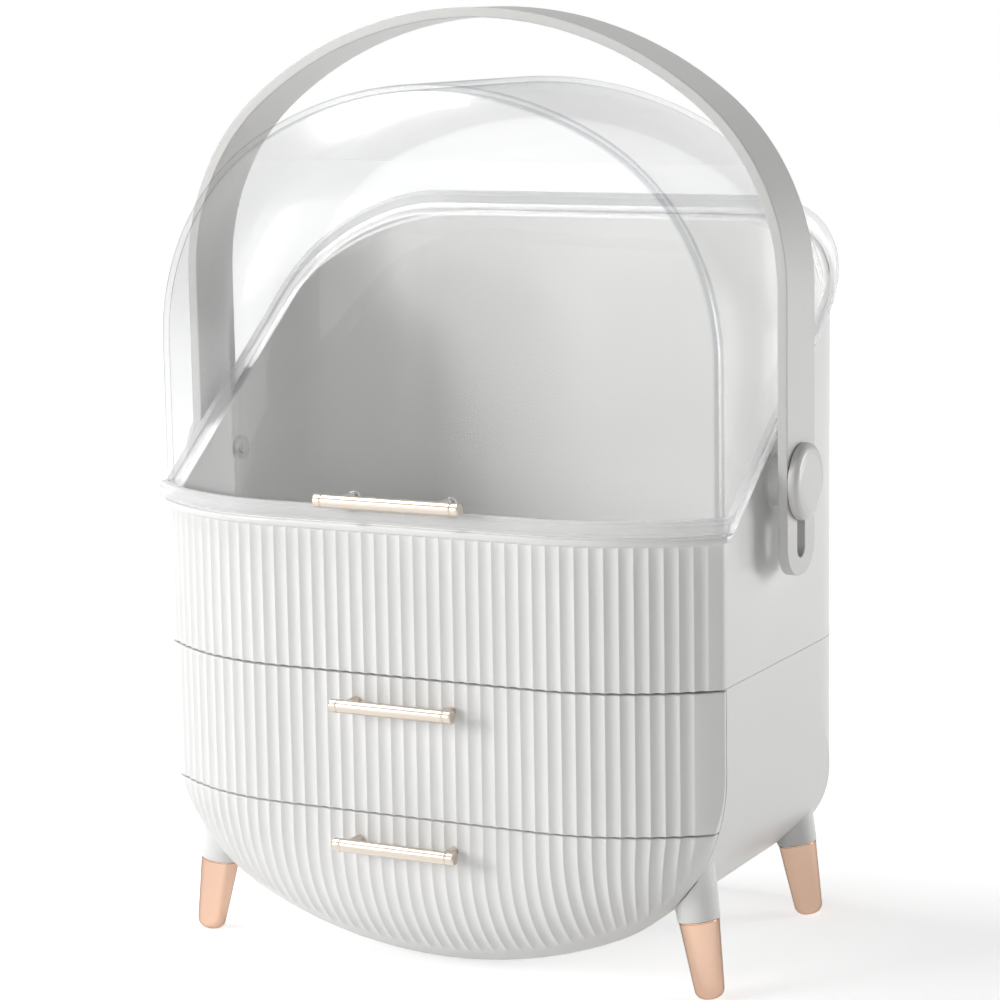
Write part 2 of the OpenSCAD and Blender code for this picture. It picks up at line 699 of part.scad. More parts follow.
// Flat strip bent over the cover, with a slot near the end of each arm.
module handle() {
    end_z = pivot_z - arm_below;
    color("white") placed() difference() {
        intersection() {
            union() {
                difference() {
                    along_y(pivot_y - handle_w / 2, pivot_y + handle_w / 2) handle_arch(0);
                    along_y(pivot_y - handle_w, pivot_y + handle_w) handle_arch(handle_t);
                    box_at([-200, -60, 0], [200, 200, handle_sz]);
                }
                for (s = [-1, 1]) translate([s * (handle_half - handle_t / 2), pivot_y, 0])
                    box_at([0.02 - handle_t / 2, -handle_w / 2, end_z - 1],
                           [handle_t / 2 - 0.02, handle_w / 2, handle_sz + 1]);
            }
            union() {
                box_at([-200, -20, end_z + 14], [200, 140, 500]);
                box_at([-200, pivot_y - handle_w / 2 + 14, end_z],
                       [200, pivot_y + handle_w / 2 - 14, end_z + 15]);
                for (s = [-1, 1])
                    rod_x(-200, 200, pivot_y + s * (handle_w / 2 - 14), end_z + 14, 28);
            }
        }
        for (z = [pivot_z, pivot_z - slot_lift]) rod_x(-200, 200, pivot_y, z, slot_w);
        box_at([-200, pivot_y - slot_w / 2, pivot_z - slot_lift],
               [200, pivot_y + slot_w / 2, pivot_z]);
    }
}

module sided(side) {
    if (side > 0) children(); else mirror([1, 0, 0]) children();
}

module pivot_pin(side) {
    color("silver") placed() sided(side) {
        rod_x(boss_x + 0.2, knob_x, pivot_y, pivot_z, slot_w - 2 * slot_fit);
        rod_x(half - wall - 4, boss_x + 1, pivot_y, pivot_z, 6);
        rod_x(knob_x - 1, knob_x + 3, pivot_y, pivot_z, 5);
    }
}

module pivot_clip(side) {
    color("silver") placed() sided(side) difference() {
        rod_x(half - wall - 2.6, half - wall - 0.3, pivot_y, pivot_z, 11);
        rod_x(half - wall - 9, half, pivot_y, pivot_z, 6.02);
    }
}

module knob(side) {
    color("gainsboro") placed() sided(side) difference() {
        translate([knob_x, pivot_y, pivot_z]) rotate([0, 90, 0]) rotate_extrude($fn = 96)
            polygon([[0, 0], [knob_d / 2 - 0.4, 0], [knob_d / 2, 0.4], [knob_d / 2, 2.2],
                     [knob_d / 2 - 0.6, 2.8], [knob_d / 2 - 2, 3], [knob_d / 2 - 2.2, 4.2],
                     [knob_d / 2 - 3, 4.7], [0, 4.7]]);
        rod_x(knob_x - 1, knob_x + 3.1, pivot_y, pivot_z, 5.02);
    }
}

module left_pivot_pin() { pivot_pin(-1); }
module right_pivot_pin() { pivot_pin(1); }
module left_pivot_clip() { pivot_clip(-1); }
module right_pivot_clip() { pivot_clip(1); }
module left_knob() { knob(-1); }
module right_knob() { knob(1); }

casing();
divider_shelf();
upper_tray();
tray_screws();
front_left_foot_tip();
front_right_foot_tip();
rear_left_foot_tip();
rear_right_foot_tip();
drawer_1_box();
drawer_1_front();
drawer_1_front_screws();
drawer_1_pull();
drawer_1_pull_screws();
drawer_2_box();
drawer_2_front();
drawer_2_front_screws();
drawer_2_pull();
drawer_2_pull_screws();
lid_cover();
lid_bar();
lid_bar_screws();
left_hinge_pin();
right_hinge_pin();
handle();
left_pivot_pin();
right_pivot_pin();
left_pivot_clip();
right_pivot_clip();
left_knob();
right_knob();
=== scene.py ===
"""Looks of a countertop cosmetics organizer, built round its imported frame.

The fluted fronts, the tray, the clear cover, the knobs and the foot tips are
rebuilt here as smooth surfaces. The casing, shelf, boxes, handle, pulls, bar,
pins, clips and screws keep their exact meshes and get finishes. Sizes are in
millimetres in the design frame, whose y is 0 at the front plane of the casing;
``to_row`` moves them to the row frame.
"""

from __future__ import annotations

import logging
import math
from dataclasses import dataclass, field
from enum import Enum
from typing import Any, Callable, Sequence

import bpy
import numpy as np
from mathutils import Matrix

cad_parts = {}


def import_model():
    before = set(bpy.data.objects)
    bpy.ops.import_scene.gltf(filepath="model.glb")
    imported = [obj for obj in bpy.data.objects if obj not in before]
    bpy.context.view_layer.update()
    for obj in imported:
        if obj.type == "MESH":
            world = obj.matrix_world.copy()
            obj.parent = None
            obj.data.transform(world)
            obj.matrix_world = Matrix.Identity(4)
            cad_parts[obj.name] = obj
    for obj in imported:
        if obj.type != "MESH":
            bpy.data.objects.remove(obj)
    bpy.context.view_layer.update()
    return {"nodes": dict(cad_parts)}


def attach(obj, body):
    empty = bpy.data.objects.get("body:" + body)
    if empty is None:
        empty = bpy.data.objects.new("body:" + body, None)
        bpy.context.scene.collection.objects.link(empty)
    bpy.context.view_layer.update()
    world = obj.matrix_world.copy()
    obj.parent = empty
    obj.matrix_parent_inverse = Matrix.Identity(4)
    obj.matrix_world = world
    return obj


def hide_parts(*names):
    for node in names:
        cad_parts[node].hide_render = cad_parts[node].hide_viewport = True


logging.basicConfig(level=logging.INFO, format="%(message)s")
LOG = logging.getLogger("organizer")

MID_Y = 63.5  # design y of the row frame's origin
WELD = 2e-6  # points closer than this many metres are joined
Pairs = tuple[tuple[float, float], ...]


# ----------------------------------------------------------------- sizes


@dataclass(frozen=True)
class Body:
    """Sizes of the casing, tray and drawer fronts.

    The plan has a flat middle and bowed ends at the front, and rear corners of
    radius rear_r. The outline from the front is a broad arc below with a
    smaller arc at each corner.

    Attributes:
        half: half width.
        depth: y of the back.
        rear_r: radius of the rear corners of the plan.
        edge: how far the outer ends of the bow stand in front of y = 0.
        bow: how far the flat middle stands in front of those ends.
        run: width of each bowed end.
        belly_z: height of the lowest point.
        belly_r: radius of the broad arc.
        corner_r: radius of the corner arcs.
        wall: wall of the tray.
        tray_z: height of the tray's lower edge.
        shelf_z: height of the seam between the drawers.
        seam_1: the upper front ends half of this below tray_z.
        seam_2: gap between the two fronts.
        gap: gap between the fronts and the casing.
        sweep_run: height over which the lower front sweeps out to the full bow.
        front_wall: wall of the fronts.
        border: height of the plain border below the lower front's flutes.
    """

    half: float = 140.0
    depth: float = 165.0
    rear_r: float = 53.0
    edge: float = 2.0
    bow: float = 31.4
    run: float = 76.0
    belly_z: float = 4.8
    belly_r: float = 222.0
    corner_r: float = 85.7
    wall: float = 3.0
    tray_z: float = 141.0
    shelf_z: float = 77.4
    seam_1: float = 1.8
    seam_2: float = 0.8
    gap: float = 0.4
    sweep_run: float = 54.0
    front_wall: float = 3.2
    border: float = 7.0

    @property
    def front(self) -> float:
        """Reach of the bow in front of y = 0."""
        return self.edge + self.bow

    @property
    def bow_r(self) -> float:
        """Radius of the bowed ends."""
        return (self.run**2 + self.bow**2) / (2 * self.bow)

    @property
    def flat(self) -> float:
        """Half width of the flat middle."""
        return self.half - self.run

    @property
    def belly_cz(self) -> float:
        """Height of the centre of the broad lower arc."""
        return self.belly_z + self.belly_r

    @property
    def belly_cx(self) -> float:
        """x of the centre of the right corner arc."""
        return self.half - self.corner_r

    @property
    def corner_z(self) -> float:
        """Height of the centres of the corner arcs."""
        return self.belly_cz - rise(self.belly_r, self.corner_r, self.half)


@dataclass(frozen=True)
class Rim:
    """Sizes of the slanted rim, its lip and the cover above it.

    Attributes:
        z: height of the rim at the front.
        slope: its rise for each millimetre of y.
        start: y from which it rises.
        lip_h: height of the lip round it.
        lip_out: outset of the lip.
        top: height of the top of the cover.
        big_r: radius of the broad arc of the cover's outline.
        small_r: radius of its corner arcs.
        cover_wall: wall of the cover.
        flange_out: outset of the flange's face.
        gap: gap between the rim and the cover.
        hinge_x: x of the middle of each hinge.
        hinge_y: y of the hinge line.
        hinge_z: height of the hinge line.
        knuckle_r: radius of the hinge knuckles.
        pivot_y: y of the handle's pivots.
        pivot_z: height of the handle's pivots.
    """

    z: float = 208.4
    slope: float = 0.75
    start: float = 2.0
    lip_h: float = 3.6
    lip_out: float = 2.0
    top: float = 398.0
    big_r: float = 172.0
    small_r: float = 109.0
    cover_wall: float = 2.5
    flange_out: float = 4.0
    gap: float = 0.4
    hinge_x: float = 64.0
    hinge_y: float = 170.0
    hinge_z: float = 325.95
    knuckle_r: float = 4.0
    pivot_y: float = 56.0
    pivot_z: float = 223.5

    def at(self, y: np.ndarray | float) -> np.ndarray:
        """Height of the rim above y, level in front of start."""
        return self.z + self.slope * np.maximum(np.asarray(y, float) - self.start, 0.0)


@dataclass(frozen=True)
class Flutes:
    """Spacing and section of the shallow flutes and the crests between them.

    Attributes:
        pitch: arc length from one crest to the next.
        depth: depth of a flute.
        crest: roundness of the crests, a share of half the pitch.
    """

    pitch: float = 6.42
    depth: float = 1.0
    crest: float = 0.05

    def stations(self, count: int) -> np.ndarray:
        """Arc lengths from the middle to the last crest, closer near crests.

        Args:
            count: number of flutes across the whole front.
        Returns:
            Arc lengths in millimetres.
        """
        p = np.array([0, 0.015, 0.035, 0.065, 0.11, 0.2, 0.32, 0.44])
        p = np.concatenate([p, 1 - p[:0:-1]])
        k = np.arange(count // 2)
        return np.append((k[:, None] + p[None, :]).ravel(), count // 2) * self.pitch

    def lift(self, s: np.ndarray) -> np.ndarray:
        """Height of the surface at arc length s.

        With v running from 0 at a crest to 1 at mid flute, it is
        -depth (2 - v) (sqrt(v^2 + c^2) - c) / (sqrt(1 + c^2) - c).

        Args:
            s: arc lengths in millimetres.
        Returns:
            Heights, 0 at the crests and negative in the flutes.
        """
        c = self.crest
        v = 1 - np.abs(2 * np.mod(s / self.pitch, 1.0) - 1)
        return -self.depth * (2 - v) * (np.sqrt(v**2 + c**2) - c) / (math.sqrt(1 + c**2) - c)


def rise(big: float, small: float, reach: float) -> float:
    """Height between the centre of a broad arc and the centres of its corner arcs."""
    return math.sqrt((big - small) ** 2 - (reach - small) ** 2)


BODY = Body()
RIM = Rim()
FLUTES = Flutes()


# ----------------------------------------------------------------- outlines


def belly_at(x: np.ndarray, t: float = 0.0) -> np.ndarray:
    """Height of the belly outline.

    Args:
        x: where, on either side of the middle.
        t: inset.
    Returns:
        z of the outline at each x.
    """
    b = BODY
    ax = np.abs(x)
    split = (b.belly_r - t) * b.belly_cx / (b.belly_r - b.corner_r)
    broad = b.belly_cz - np.sqrt(np.maximum((b.belly_r - t) ** 2 - ax**2, 0))
    corner = b.corner_z - np.sqrt(
        np.maximum((b.corner_r - t) ** 2 - (ax - b.belly_cx) ** 2, 0)
    )
    return np.where(ax <= split, broad, corner)


def belly_w(z: np.ndarray, t: float = 0.0) -> np.ndarray:
    """Half width of the belly outline.

    Args:
        z: heights.
        t: inset.
    Returns:
        x of the outline's right side at each height.
    """
    b = BODY
    z = np.asarray(z, float)
    split = b.belly_cz - (b.belly_r - t) * (b.belly_cz - b.corner_z) / (
        b.belly_r - b.corner_r
    )
    corner = b.belly_cx + np.sqrt(
        np.maximum((b.corner_r - t) ** 2 - (b.corner_z - z) ** 2, 0)
    )
    broad = np.sqrt(np.maximum((b.belly_r - t) ** 2 - (b.belly_cz - z) ** 2, 0))
    low = np.where(z >= split, corner, broad)
    return np.where(z >= b.corner_z, b.half - t, low)


def bow_at(x: np.ndarray, t: float = 0.0) -> np.ndarray:
    """Reach of the bowed plan curve in front of y = 0.

    Args:
        x: where, on either side of the middle.
        t: inset.
    Returns:
        The reach at each x.
    """
    b = BODY
    over = np.maximum(b.run - b.half + np.abs(x), 0)
    return b.front - b.bow_r + np.sqrt(np.maximum((b.bow_r - t) ** 2 - over**2, 0))


def bow_point(s: np.ndarray, h: np.ndarray | float = 0.0) -> np.ndarray:
    """Points of the bowed plan curve.

    Args:
        s: arc lengths from the middle, negative on the left.
        h: outset along the normal.
    Returns:
        Points (x, y), one for each arc length.
    """
    b = BODY
    q = np.maximum(np.abs(s) - b.flat, 0) / b.bow_r
    x = np.where(np.abs(s) <= b.flat, s, np.sign(s) * (b.flat + (b.bow_r + h) * np.sin(q)))
    y = b.bow_r - b.front - (b.bow_r + h) * np.cos(q)
    return np.stack([x, y], -1)


def sweep(q: np.ndarray) -> np.ndarray:
    """Share of the bow that the lower front has reached.

    It is the height of an arc that starts steeply at q = 0 and is level at q = 1.

    Args:
        q: share of the sweep's run, from 0 at the lower edge to 1.
    Returns:
        Shares from 0 to 1.
    """
    b = BODY
    r = (b.sweep_run**2 + b.bow**2) / (2 * b.bow)
    q = np.clip(q, 0, 1)
    return 1 - r / b.bow + np.sqrt(r**2 - (b.sweep_run * (1 - q)) ** 2) / b.bow


def lower_y(x: np.ndarray, z: np.ndarray, top: float, t: float = 0.0) -> np.ndarray:
    """y of the lower drawer front's surface.

    Args:
        x: where, on either side of the middle.
        z: heights.
        top: height of the front's upper edge.
        t: inset.
    Returns:
        y at each point.
    """
    b = BODY
    lo = belly_at(x, t)
    run = np.clip(top - lo, 0.5, b.sweep_run)
    return -(b.edge + (bow_at(x, t) - b.edge) * sweep((z - lo) / run))


# ----------------------------------------------------------------- mesh building


def to_row(p: np.ndarray) -> np.ndarray:
    """Design millimetres to row metres."""
    return (p - np.array([0.0, MID_Y, 0.0])) / 1000.0


@dataclass
class Skin:
    """A growing set of points and faces, in design millimetres.

    Attributes:
        points: arrays of points.
        crease_shade_marks: a mark for each point, from 0 to 1.
        quads: arrays of faces, as indices of their four points.
        size: number of points so far.
    """
    # marks: share of the painted crease shade at each point, from 0 to 1.

    points: list[np.ndarray] = field(default_factory=list)
    crease_shade_marks: list[np.ndarray] = field(default_factory=list)
    quads: list[np.ndarray] = field(default_factory=list)
    size: int = 0

    def add(self, p: np.ndarray, crease_shade_mark: np.ndarray | float = 0.0) -> np.ndarray:
        """Adds points.

        Args:
            p: points in an array whose last axis is x, y, z.
            crease_shade_mark: share of the painted crease shade at each point, from 0 to 1.
        Returns:
            Their indices, in the same array shape.
        """
        flat = p.reshape(-1, 3)
        idx = np.arange(len(flat)).reshape(p.shape[:-1]) + self.size
        self.points.append(flat)
        self.crease_shade_marks.append(np.broadcast_to(crease_shade_mark, p.shape[:-1]).ravel())
        self.size += len(flat)
        return idx

    def weave(self, idx: np.ndarray, wrap: bool = False, flip: bool = False) -> None:
        """Adds the quads of a grid.

        Args:
            idx: indices of its points.
            wrap: whether the second axis is closed.
            flip: whether the faces are turned over.
        """
        j = np.roll(idx, -1, axis=1) if wrap else idx[:, 1:]
        i = idx if wrap else idx[:, :-1]
        q = np.stack([i[:-1], j[:-1], j[1:], i[1:]], -1).reshape(-1, 4)
        self.quads.append(q[:, ::-1] if flip else q)

    def strip(self, a: np.ndarray, b: np.ndarray, flip: bool = False) -> None:
        """Adds the quads between two equally long rows of indices."""
        self.weave(np.stack([a, b]), flip=flip)

    def shell(self, outer: np.ndarray, rings: Sequence[np.ndarray], inner: np.ndarray,
              crease_shade_mark: np.ndarray | float = 0.0) -> None:
        """A closed wall between two grids, joined round the edge through rings.

        Args:
            outer: points (u, v, 3), with u x v pointing outwards.
            rings: loops of points to pass through from the outer to the inner edge.
            inner: points of the same shape as outer.
            crease_shade_mark: share of the painted crease shade at the points of each grid.
        """
        a, c = self.add(outer, crease_shade_mark), self.add(inner, crease_shade_mark)
        self.weave(a.T)
        self.weave(c.T, flip=True)
        loops = [edge_loop(a)] + [self.add(r) for r in rings] + [edge_loop(c)]
        for p, q in zip(loops[:-1], loops[1:]):
            self.strip(np.append(p, p[0]), np.append(q, q[0]), flip=True)

    def build(
        self,
        name: str,
        finish: bpy.types.Material,
        node: Sequence[str] = (),
        body: str = "body",
        sharp: float = 38.0,
    ) -> None:
        """Makes the object, welded, smooth and riding on its body.

        Args:
            name: object name.
            finish: material.
            node: frame nodes that the object stands for.
            body: frame body it moves with.
            sharp: edges steeper than this many degrees stay crisp.
        """
        co = to_row(np.concatenate(self.points))
        quads, tris, co, first = weld(co, np.concatenate(self.quads))
        mesh = bpy.data.meshes.new(name)
        mesh.vertices.add(len(co))
        mesh.vertices.foreach_set("co", co.ravel())
        loops = np.concatenate([quads.ravel(), tris.ravel()]).astype(np.int32)
        totals = np.concatenate([np.full(len(quads), 4), np.full(len(tris), 3)])
        starts = np.concatenate([[0], np.cumsum(totals)[:-1]]).astype(np.int32)
        mesh.loops.add(len(loops))
        mesh.loops.foreach_set("vertex_index", loops)
        mesh.polygons.add(len(totals))
        mesh.polygons.foreach_set("loop_start", starts)
        mesh.update(calc_edges=True)
        mesh.validate()
        # these shares carry the painted shade line along the cover's front crease
        crease_shade_marks = np.concatenate(self.crease_shade_marks)[first]
        if crease_shade_marks.any():
            layer = mesh.attributes.new("line", "FLOAT", "POINT")
            layer.data.foreach_set("value", crease_shade_marks.astype(np.float32))
        mesh.polygons.foreach_set("use_smooth", np.ones(len(mesh.polygons), bool))
        mesh.set_sharp_from_angle(angle=math.radians(sharp))
        mesh.materials.append(finish)
        obj = bpy.data.objects.new(name, mesh)
        bpy.context.scene.collection.objects.link(obj)
        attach(obj, body)
        if node:
            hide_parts(*node)
        LOG.info("%s: %d points, %d faces", name, len(co), len(mesh.polygons))


def weld(
    co: np.ndarray, quads: np.ndarray
) -> tuple[np.ndarray, np.ndarray, np.ndarray, np.ndarray]:
    """Joins points that nearly coincide.

    A quad that loses one side becomes a triangle, and one that loses more goes.

    Args:
        co: points in metres.
        quads: faces, as indices of their four points.
    Returns:
        Quads, triangles, kept points and the old index of each kept point.
    """
    key = np.round(co / WELD).astype(np.int64)
    _, first, back = np.unique(key, axis=0, return_index=True, return_inverse=True)
    back = back.reshape(-1)
    quads = back[quads]
    same = [quads[:, k] == quads[:, (k + 1) % 4] for k in range(4)]
    cross = (quads[:, 0] == quads[:, 2]) | (quads[:, 1] == quads[:, 3])
    hits = np.sum(same, axis=0)
    whole = (hits == 0) & ~cross
    once = (hits == 1) & ~cross
    tris = [np.delete(quads[once & same[k]], k, axis=1) for k in range(4)]
    return quads[whole], np.concatenate(tris), co[first], first


def edge_loop(idx: np.ndarray) -> np.ndarray:
    """Indices round a grid, in the order that the grid's own faces run."""
    return np.concatenate([idx[:, 0], idx[-1, 1:], idx[-2::-1, -1], idx[0, -2:0:-1]])


def loop_points(p: np.ndarray) -> np.ndarray:
    """Points round a grid of points."""
    return np.concatenate([p[:, 0], p[-1, 1:], p[-2::-1, -1], p[0, -2:0:-1]])


# ----------------------------------------------------------------- finishes


@dataclass(frozen=True)
class Nodes:
    """Adds, sets and joins the shader nodes of one tree.

    Attributes:
        tree: that tree.
    """

    tree: bpy.types.NodeTree

    def fill(self, node: bpy.types.Node, values: dict[str | int, Any]) -> bpy.types.Node:
        """Sets inputs of a node, or links them where the value is a socket.

        Args:
            node: the node.
            values: a number, colour or socket for each input's name or place.
        Returns:
            The same node.
        """
        for key, value in values.items():
            if isinstance(value, bpy.types.NodeSocket):
                self.tree.links.new(value, node.inputs[key])
            else:
                node.inputs[key].default_value = value
        return node

    def add(
        self, kind: str, values: dict[str | int, Any] | None = None, **settings: str | int
    ) -> bpy.types.Node:
        """Adds a node.

        Args:
            kind: its type, without the word ShaderNode.
            values: its inputs, as for ``fill``.
            settings: its own settings, such as operation, made before the inputs.
        Returns:
            The new node.
        """
        node = self.tree.nodes.new("ShaderNode" + kind)
        for name, value in settings.items():
            setattr(node, name, value)
        return self.fill(node, values or {})

    def place(self) -> bpy.types.NodeSocket:
        """Socket with the object coordinates."""
        return self.add("TexCoord").outputs["Object"]

    def rays(self, *kinds: str) -> bpy.types.NodeSocket:
        """Socket that is 1 on the named kinds of rays.

        Args:
            kinds: names of Light Path outputs.
        Returns:
            The largest of those outputs.
        """
        path = self.add("LightPath")
        flag = path.outputs[kinds[0]]
        for kind in kinds[1:]:
            larger = self.add("Math", {0: flag, 1: path.outputs[kind]}, operation="MAXIMUM")
            flag = larger.outputs["Value"]
        return flag

    def mix(
        self,
        first: bpy.types.NodeSocket,
        second: bpy.types.NodeSocket,
        share: float | bpy.types.NodeSocket,
    ) -> bpy.types.NodeSocket:
        """Mixes two shaders.

        Args:
            first: shader shown where share is 0.
            second: shader shown where share is 1.
            share: a number or a socket.
        Returns:
            The mixed shader.
        """
        return self.add("MixShader", {"Fac": share, 1: first, 2: second}).outputs["Shader"]


def new_material(name: str) -> tuple[bpy.types.Material, Nodes]:
    """Starts a material.

    Args:
        name: its name.
    Returns:
        The material, and the means to add to its tree.
    """
    material = bpy.data.materials.new(name)
    material.use_nodes = True
    return material, Nodes(material.node_tree)


@dataclass(frozen=True)
class Finish:
    """A procedural surface finish.

    Attributes:
        name: material name.
        color: base colour, linear.
        rough: mean roughness.
        metal: metallic share.
        vary: how much the colour drifts from place to place.
        grain: strength of the fine surface grain.
        grain_scale: spatial frequency of the grain.
        edge: radius in metres over which sharp edges are softened in shading.
        coat: clear-coat weight.
        limb: tint of reflections at grazing angles.
    """

    name: str
    color: tuple[float, float, float]
    rough: float = 0.4
    metal: float = 0.0
    vary: float = 0.02
    grain: float = 0.02
    grain_scale: float = 900.0
    edge: float = 0.0
    coat: float = 0.0
    limb: float = 1.0

    def make(self) -> bpy.types.Material:
        """Builds the material.

        Broad noise shifts its colour and roughness, and fine noise its normal.

        Returns:
            The material.
        """
        material, nodes = new_material(self.name)
        place = nodes.place()
        broad = nodes.add("TexNoise", {"Scale": 14.0, "Detail": 4.0, "Vector": place}).outputs["Fac"]
        fine = nodes.add("TexNoise", {"Scale": self.grain_scale, "Detail": 2.0, "Vector": place})
        tint = nodes.add("MapRange", {"To Min": 1 - self.vary, "To Max": 1 + self.vary, "Value": broad})
        color = nodes.add(
            "VectorMath", {0: self.color, "Scale": tint.outputs["Result"]}, operation="SCALE"
        )
        spread = self.rough * 0.12
        rough = nodes.add(
            "MapRange", {"To Min": self.rough - spread, "To Max": self.rough + spread, "Value": broad}
        )
        bump = nodes.add(
            "Bump", {"Strength": self.grain, "Distance": 0.0002, "Height": fine.outputs["Fac"]}
        )
        if self.edge:
            bevel = nodes.add("Bevel", {"Radius": self.edge}, samples=6)
            nodes.fill(bump, {"Normal": bevel.outputs["Normal"]})
        surface = nodes.tree.nodes["Principled BSDF"]
        nodes.fill(surface, {
            "Base Color": (*self.color, 1), "Metallic": self.metal, "Roughness": self.rough,
            "Coat Weight": self.coat, "Coat Roughness": 0.12, "Specular Tint": (*[self.limb] * 3, 1),
        })
        nodes.fill(surface, {
            "Base Color": color.outputs["Vector"], "Roughness": rough.outputs["Result"],
            "Normal": bump.outputs["Normal"],
        })
        return material


@dataclass(frozen=True)
class Clear:
    """Clear moulded plastic that lets light through without dark shadows.

    Attributes:
        name: material name.
        tint: share of light that a face lets through when seen square on.
        rim: the same where the face is seen edge on, partly real loss of light at grazing angles and
            partly painted shade for the grey edge lines that refraction gives.
        line: the same where the mesh is marked along the crease, a painted shade line in place of the
            dark line that refraction gives at the rounded edge.
        steep: how narrow that edge is, a power of how far the face turns away.
        shine: share of the Fresnel reflection that shows.
        gloss: roughness of that reflection.
        glass: share of true refraction.
        milk: share of white that scatters.
    """

    name: str
    tint: tuple[float, float, float] = (0.997, 0.998, 0.999)
    rim: tuple[float, float, float] = (0.55, 0.57, 0.58)
    line: tuple[float, float, float] = (0.7, 0.72, 0.73)
    steep: float = 24.0
    shine: float = 0.2
    gloss: float = 0.25
    glass: float = 0.05
    milk: float = 0.0

    def make(self) -> bpy.types.Material:
        """Builds the material.

        A transparent shader carries the tints, which paint shade where a face is seen edge on and along
        the marked crease, with a little refraction, white and gloss mixed in. Shadow and diffuse rays
        pass almost unchanged.

        Returns:
            The material.
        """
        material, nodes = new_material(self.name)
        wave = nodes.add("TexNoise", {"Scale": 9.0, "Detail": 1.0, "Vector": nodes.place()})
        bump = nodes.add("Bump", {"Strength": 0.02, "Distance": 0.001, "Height": wave.outputs["Fac"]})
        normal = bump.outputs["Normal"]
        glass = nodes.fill(nodes.tree.nodes["Principled BSDF"], {
            "Base Color": (*self.tint, 1), "Roughness": 0.02, "IOR": 1.42,
            "Transmission Weight": 1.0, "Normal": normal,
        })
        # painted shade: faces grey towards their silhouette edges, partly real grazing loss and partly
        # painted in place of refraction
        slant = nodes.add("LayerWeight", {"Blend": 0.5}).outputs["Facing"]
        steep = nodes.add("Math", {0: slant, 1: self.steep}, operation="POWER").outputs["Value"]
        edge = nodes.add(
            "Mix", {"Factor": steep, "A": (*self.tint, 1), "B": (*self.rim, 1)}, data_type="RGBA"
        ).outputs["Result"]
        # painted shade: a grey line along the marked crease of the cover
        crease_shade_marks = nodes.add("Attribute", attribute_name="line").outputs["Fac"]
        crease = nodes.add("Mix", {"Factor": crease_shade_marks, "A": edge, "B": (*self.line, 1)}, data_type="RGBA")
        clear = nodes.add("BsdfTransparent", {"Color": crease.outputs["Result"]})
        white = nodes.add("BsdfDiffuse", {"Color": (0.9, 0.9, 0.9, 1)})
        gloss = nodes.add("BsdfGlossy", {"Roughness": self.gloss, "Normal": normal})
        fresnel = nodes.add("Fresnel", {"IOR": 1.4}).outputs["Fac"]
        shine = nodes.add("Math", {0: fresnel, 1: self.shine}, operation="MULTIPLY")
        through = nodes.add("BsdfTransparent", {"Color": (0.97, 0.97, 0.97, 1)})
        shader = nodes.mix(clear.outputs["BSDF"], glass.outputs["BSDF"], self.glass)
        shader = nodes.mix(shader, white.outputs["BSDF"], self.milk)
        shader = nodes.mix(shader, gloss.outputs["BSDF"], shine.outputs["Value"])
        rays = nodes.rays("Is Shadow Ray", "Is Diffuse Ray")
        shader = nodes.mix(shader, through.outputs["BSDF"], rays)
        nodes.fill(nodes.tree.nodes["Material Output"], {"Surface": shader})
        return material


class Palette(Enum):
    """The finishes of the part."""

    BODY = Finish("satin white plastic", (0.80, 0.80, 0.79), 0.34, vary=0.012, coat=0.15)
    SHELL = Finish(
        "satin white casing", (0.80, 0.80, 0.79), 0.36, vary=0.012, edge=0.0007, coat=0.1
    )
    INNER = Finish("white inner plastic", (0.80, 0.80, 0.79), 0.5, vary=0.015, edge=0.0005)
    HANDLE = Finish(
        "off white strip", (0.65, 0.645, 0.63), 0.36, vary=0.012, edge=0.0011, coat=0.1
    )
    KNOB = Finish("off white knob", (0.69, 0.685, 0.675), 0.34, vary=0.012, coat=0.1)
    PULL = Finish("champagne gold", (0.62, 0.55, 0.475), 0.28, 1.0, 0.03, 0.01, 1400, 0.0004)
    TIP = Finish("rose gold", (0.68, 0.46, 0.345), 0.13, 1.0, 0.03, 0.01, 1400, limb=0.45)
    STEEL = Finish("bright steel", (0.62, 0.62, 0.62), 0.3, 1.0, 0.03, 0.02, 1400, 0.0002)


# ----------------------------------------------------------------- shared shapes


def plan_half(t: float, s_end: np.ndarray, h: np.ndarray | float = 0.0) -> np.ndarray:
    """Right half of the body's plan from front centre to back centre, set in by t.

    Args:
        t: inset, negative for an outset.
        s_end: arc-length stations along the bowed front.
        h: extra outset of those stations.
    Returns:
        Points (n, 2). Every call with the same stations gives the same n.
    """
    b = BODY
    q_end = math.asin((b.run - t) / (b.bow_r - t)) / math.asin(b.run / b.bow_r)
    q = np.maximum(s_end - b.flat, 0) / b.bow_r * q_end
    r = b.bow_r - t + h
    front = np.stack(
        [np.where(s_end <= b.flat, s_end, b.flat + r * np.sin(q)),
         b.bow_r - b.front - r * np.cos(q)], -1)
    y_c = b.bow_r - b.front - math.sqrt((b.bow_r - t) ** 2 - (b.run - t) ** 2)
    ys = np.concatenate([[y_c + 0.7, RIM.start], np.linspace(RIM.start, b.depth - b.rear_r, 14)[1:]])
    ys[0] = min(ys[0], RIM.start - 0.2)  # just behind the end of the bow
    side = np.stack([np.full(len(ys), b.half - t), ys], -1)
    a = np.linspace(0, np.pi / 2, 26)[1:]
    rr = b.rear_r - t
    corner = np.stack(
        [b.half - b.rear_r + rr * np.cos(a), b.depth - b.rear_r + rr * np.sin(a)], -1)
    xs = np.linspace(b.half - b.rear_r, 0, 7)[1:]
    back = np.stack([xs, np.full(len(xs), b.depth - t)], -1)
    return np.concatenate([front, side, corner, back])


def mirror_loop(p: np.ndarray) -> np.ndarray:
    """Closes a right half into a loop that runs front, right, back, left."""
    left = p[-2:0:-1] * np.array([-1.0, 1.0])
    return np.concatenate([p, left])


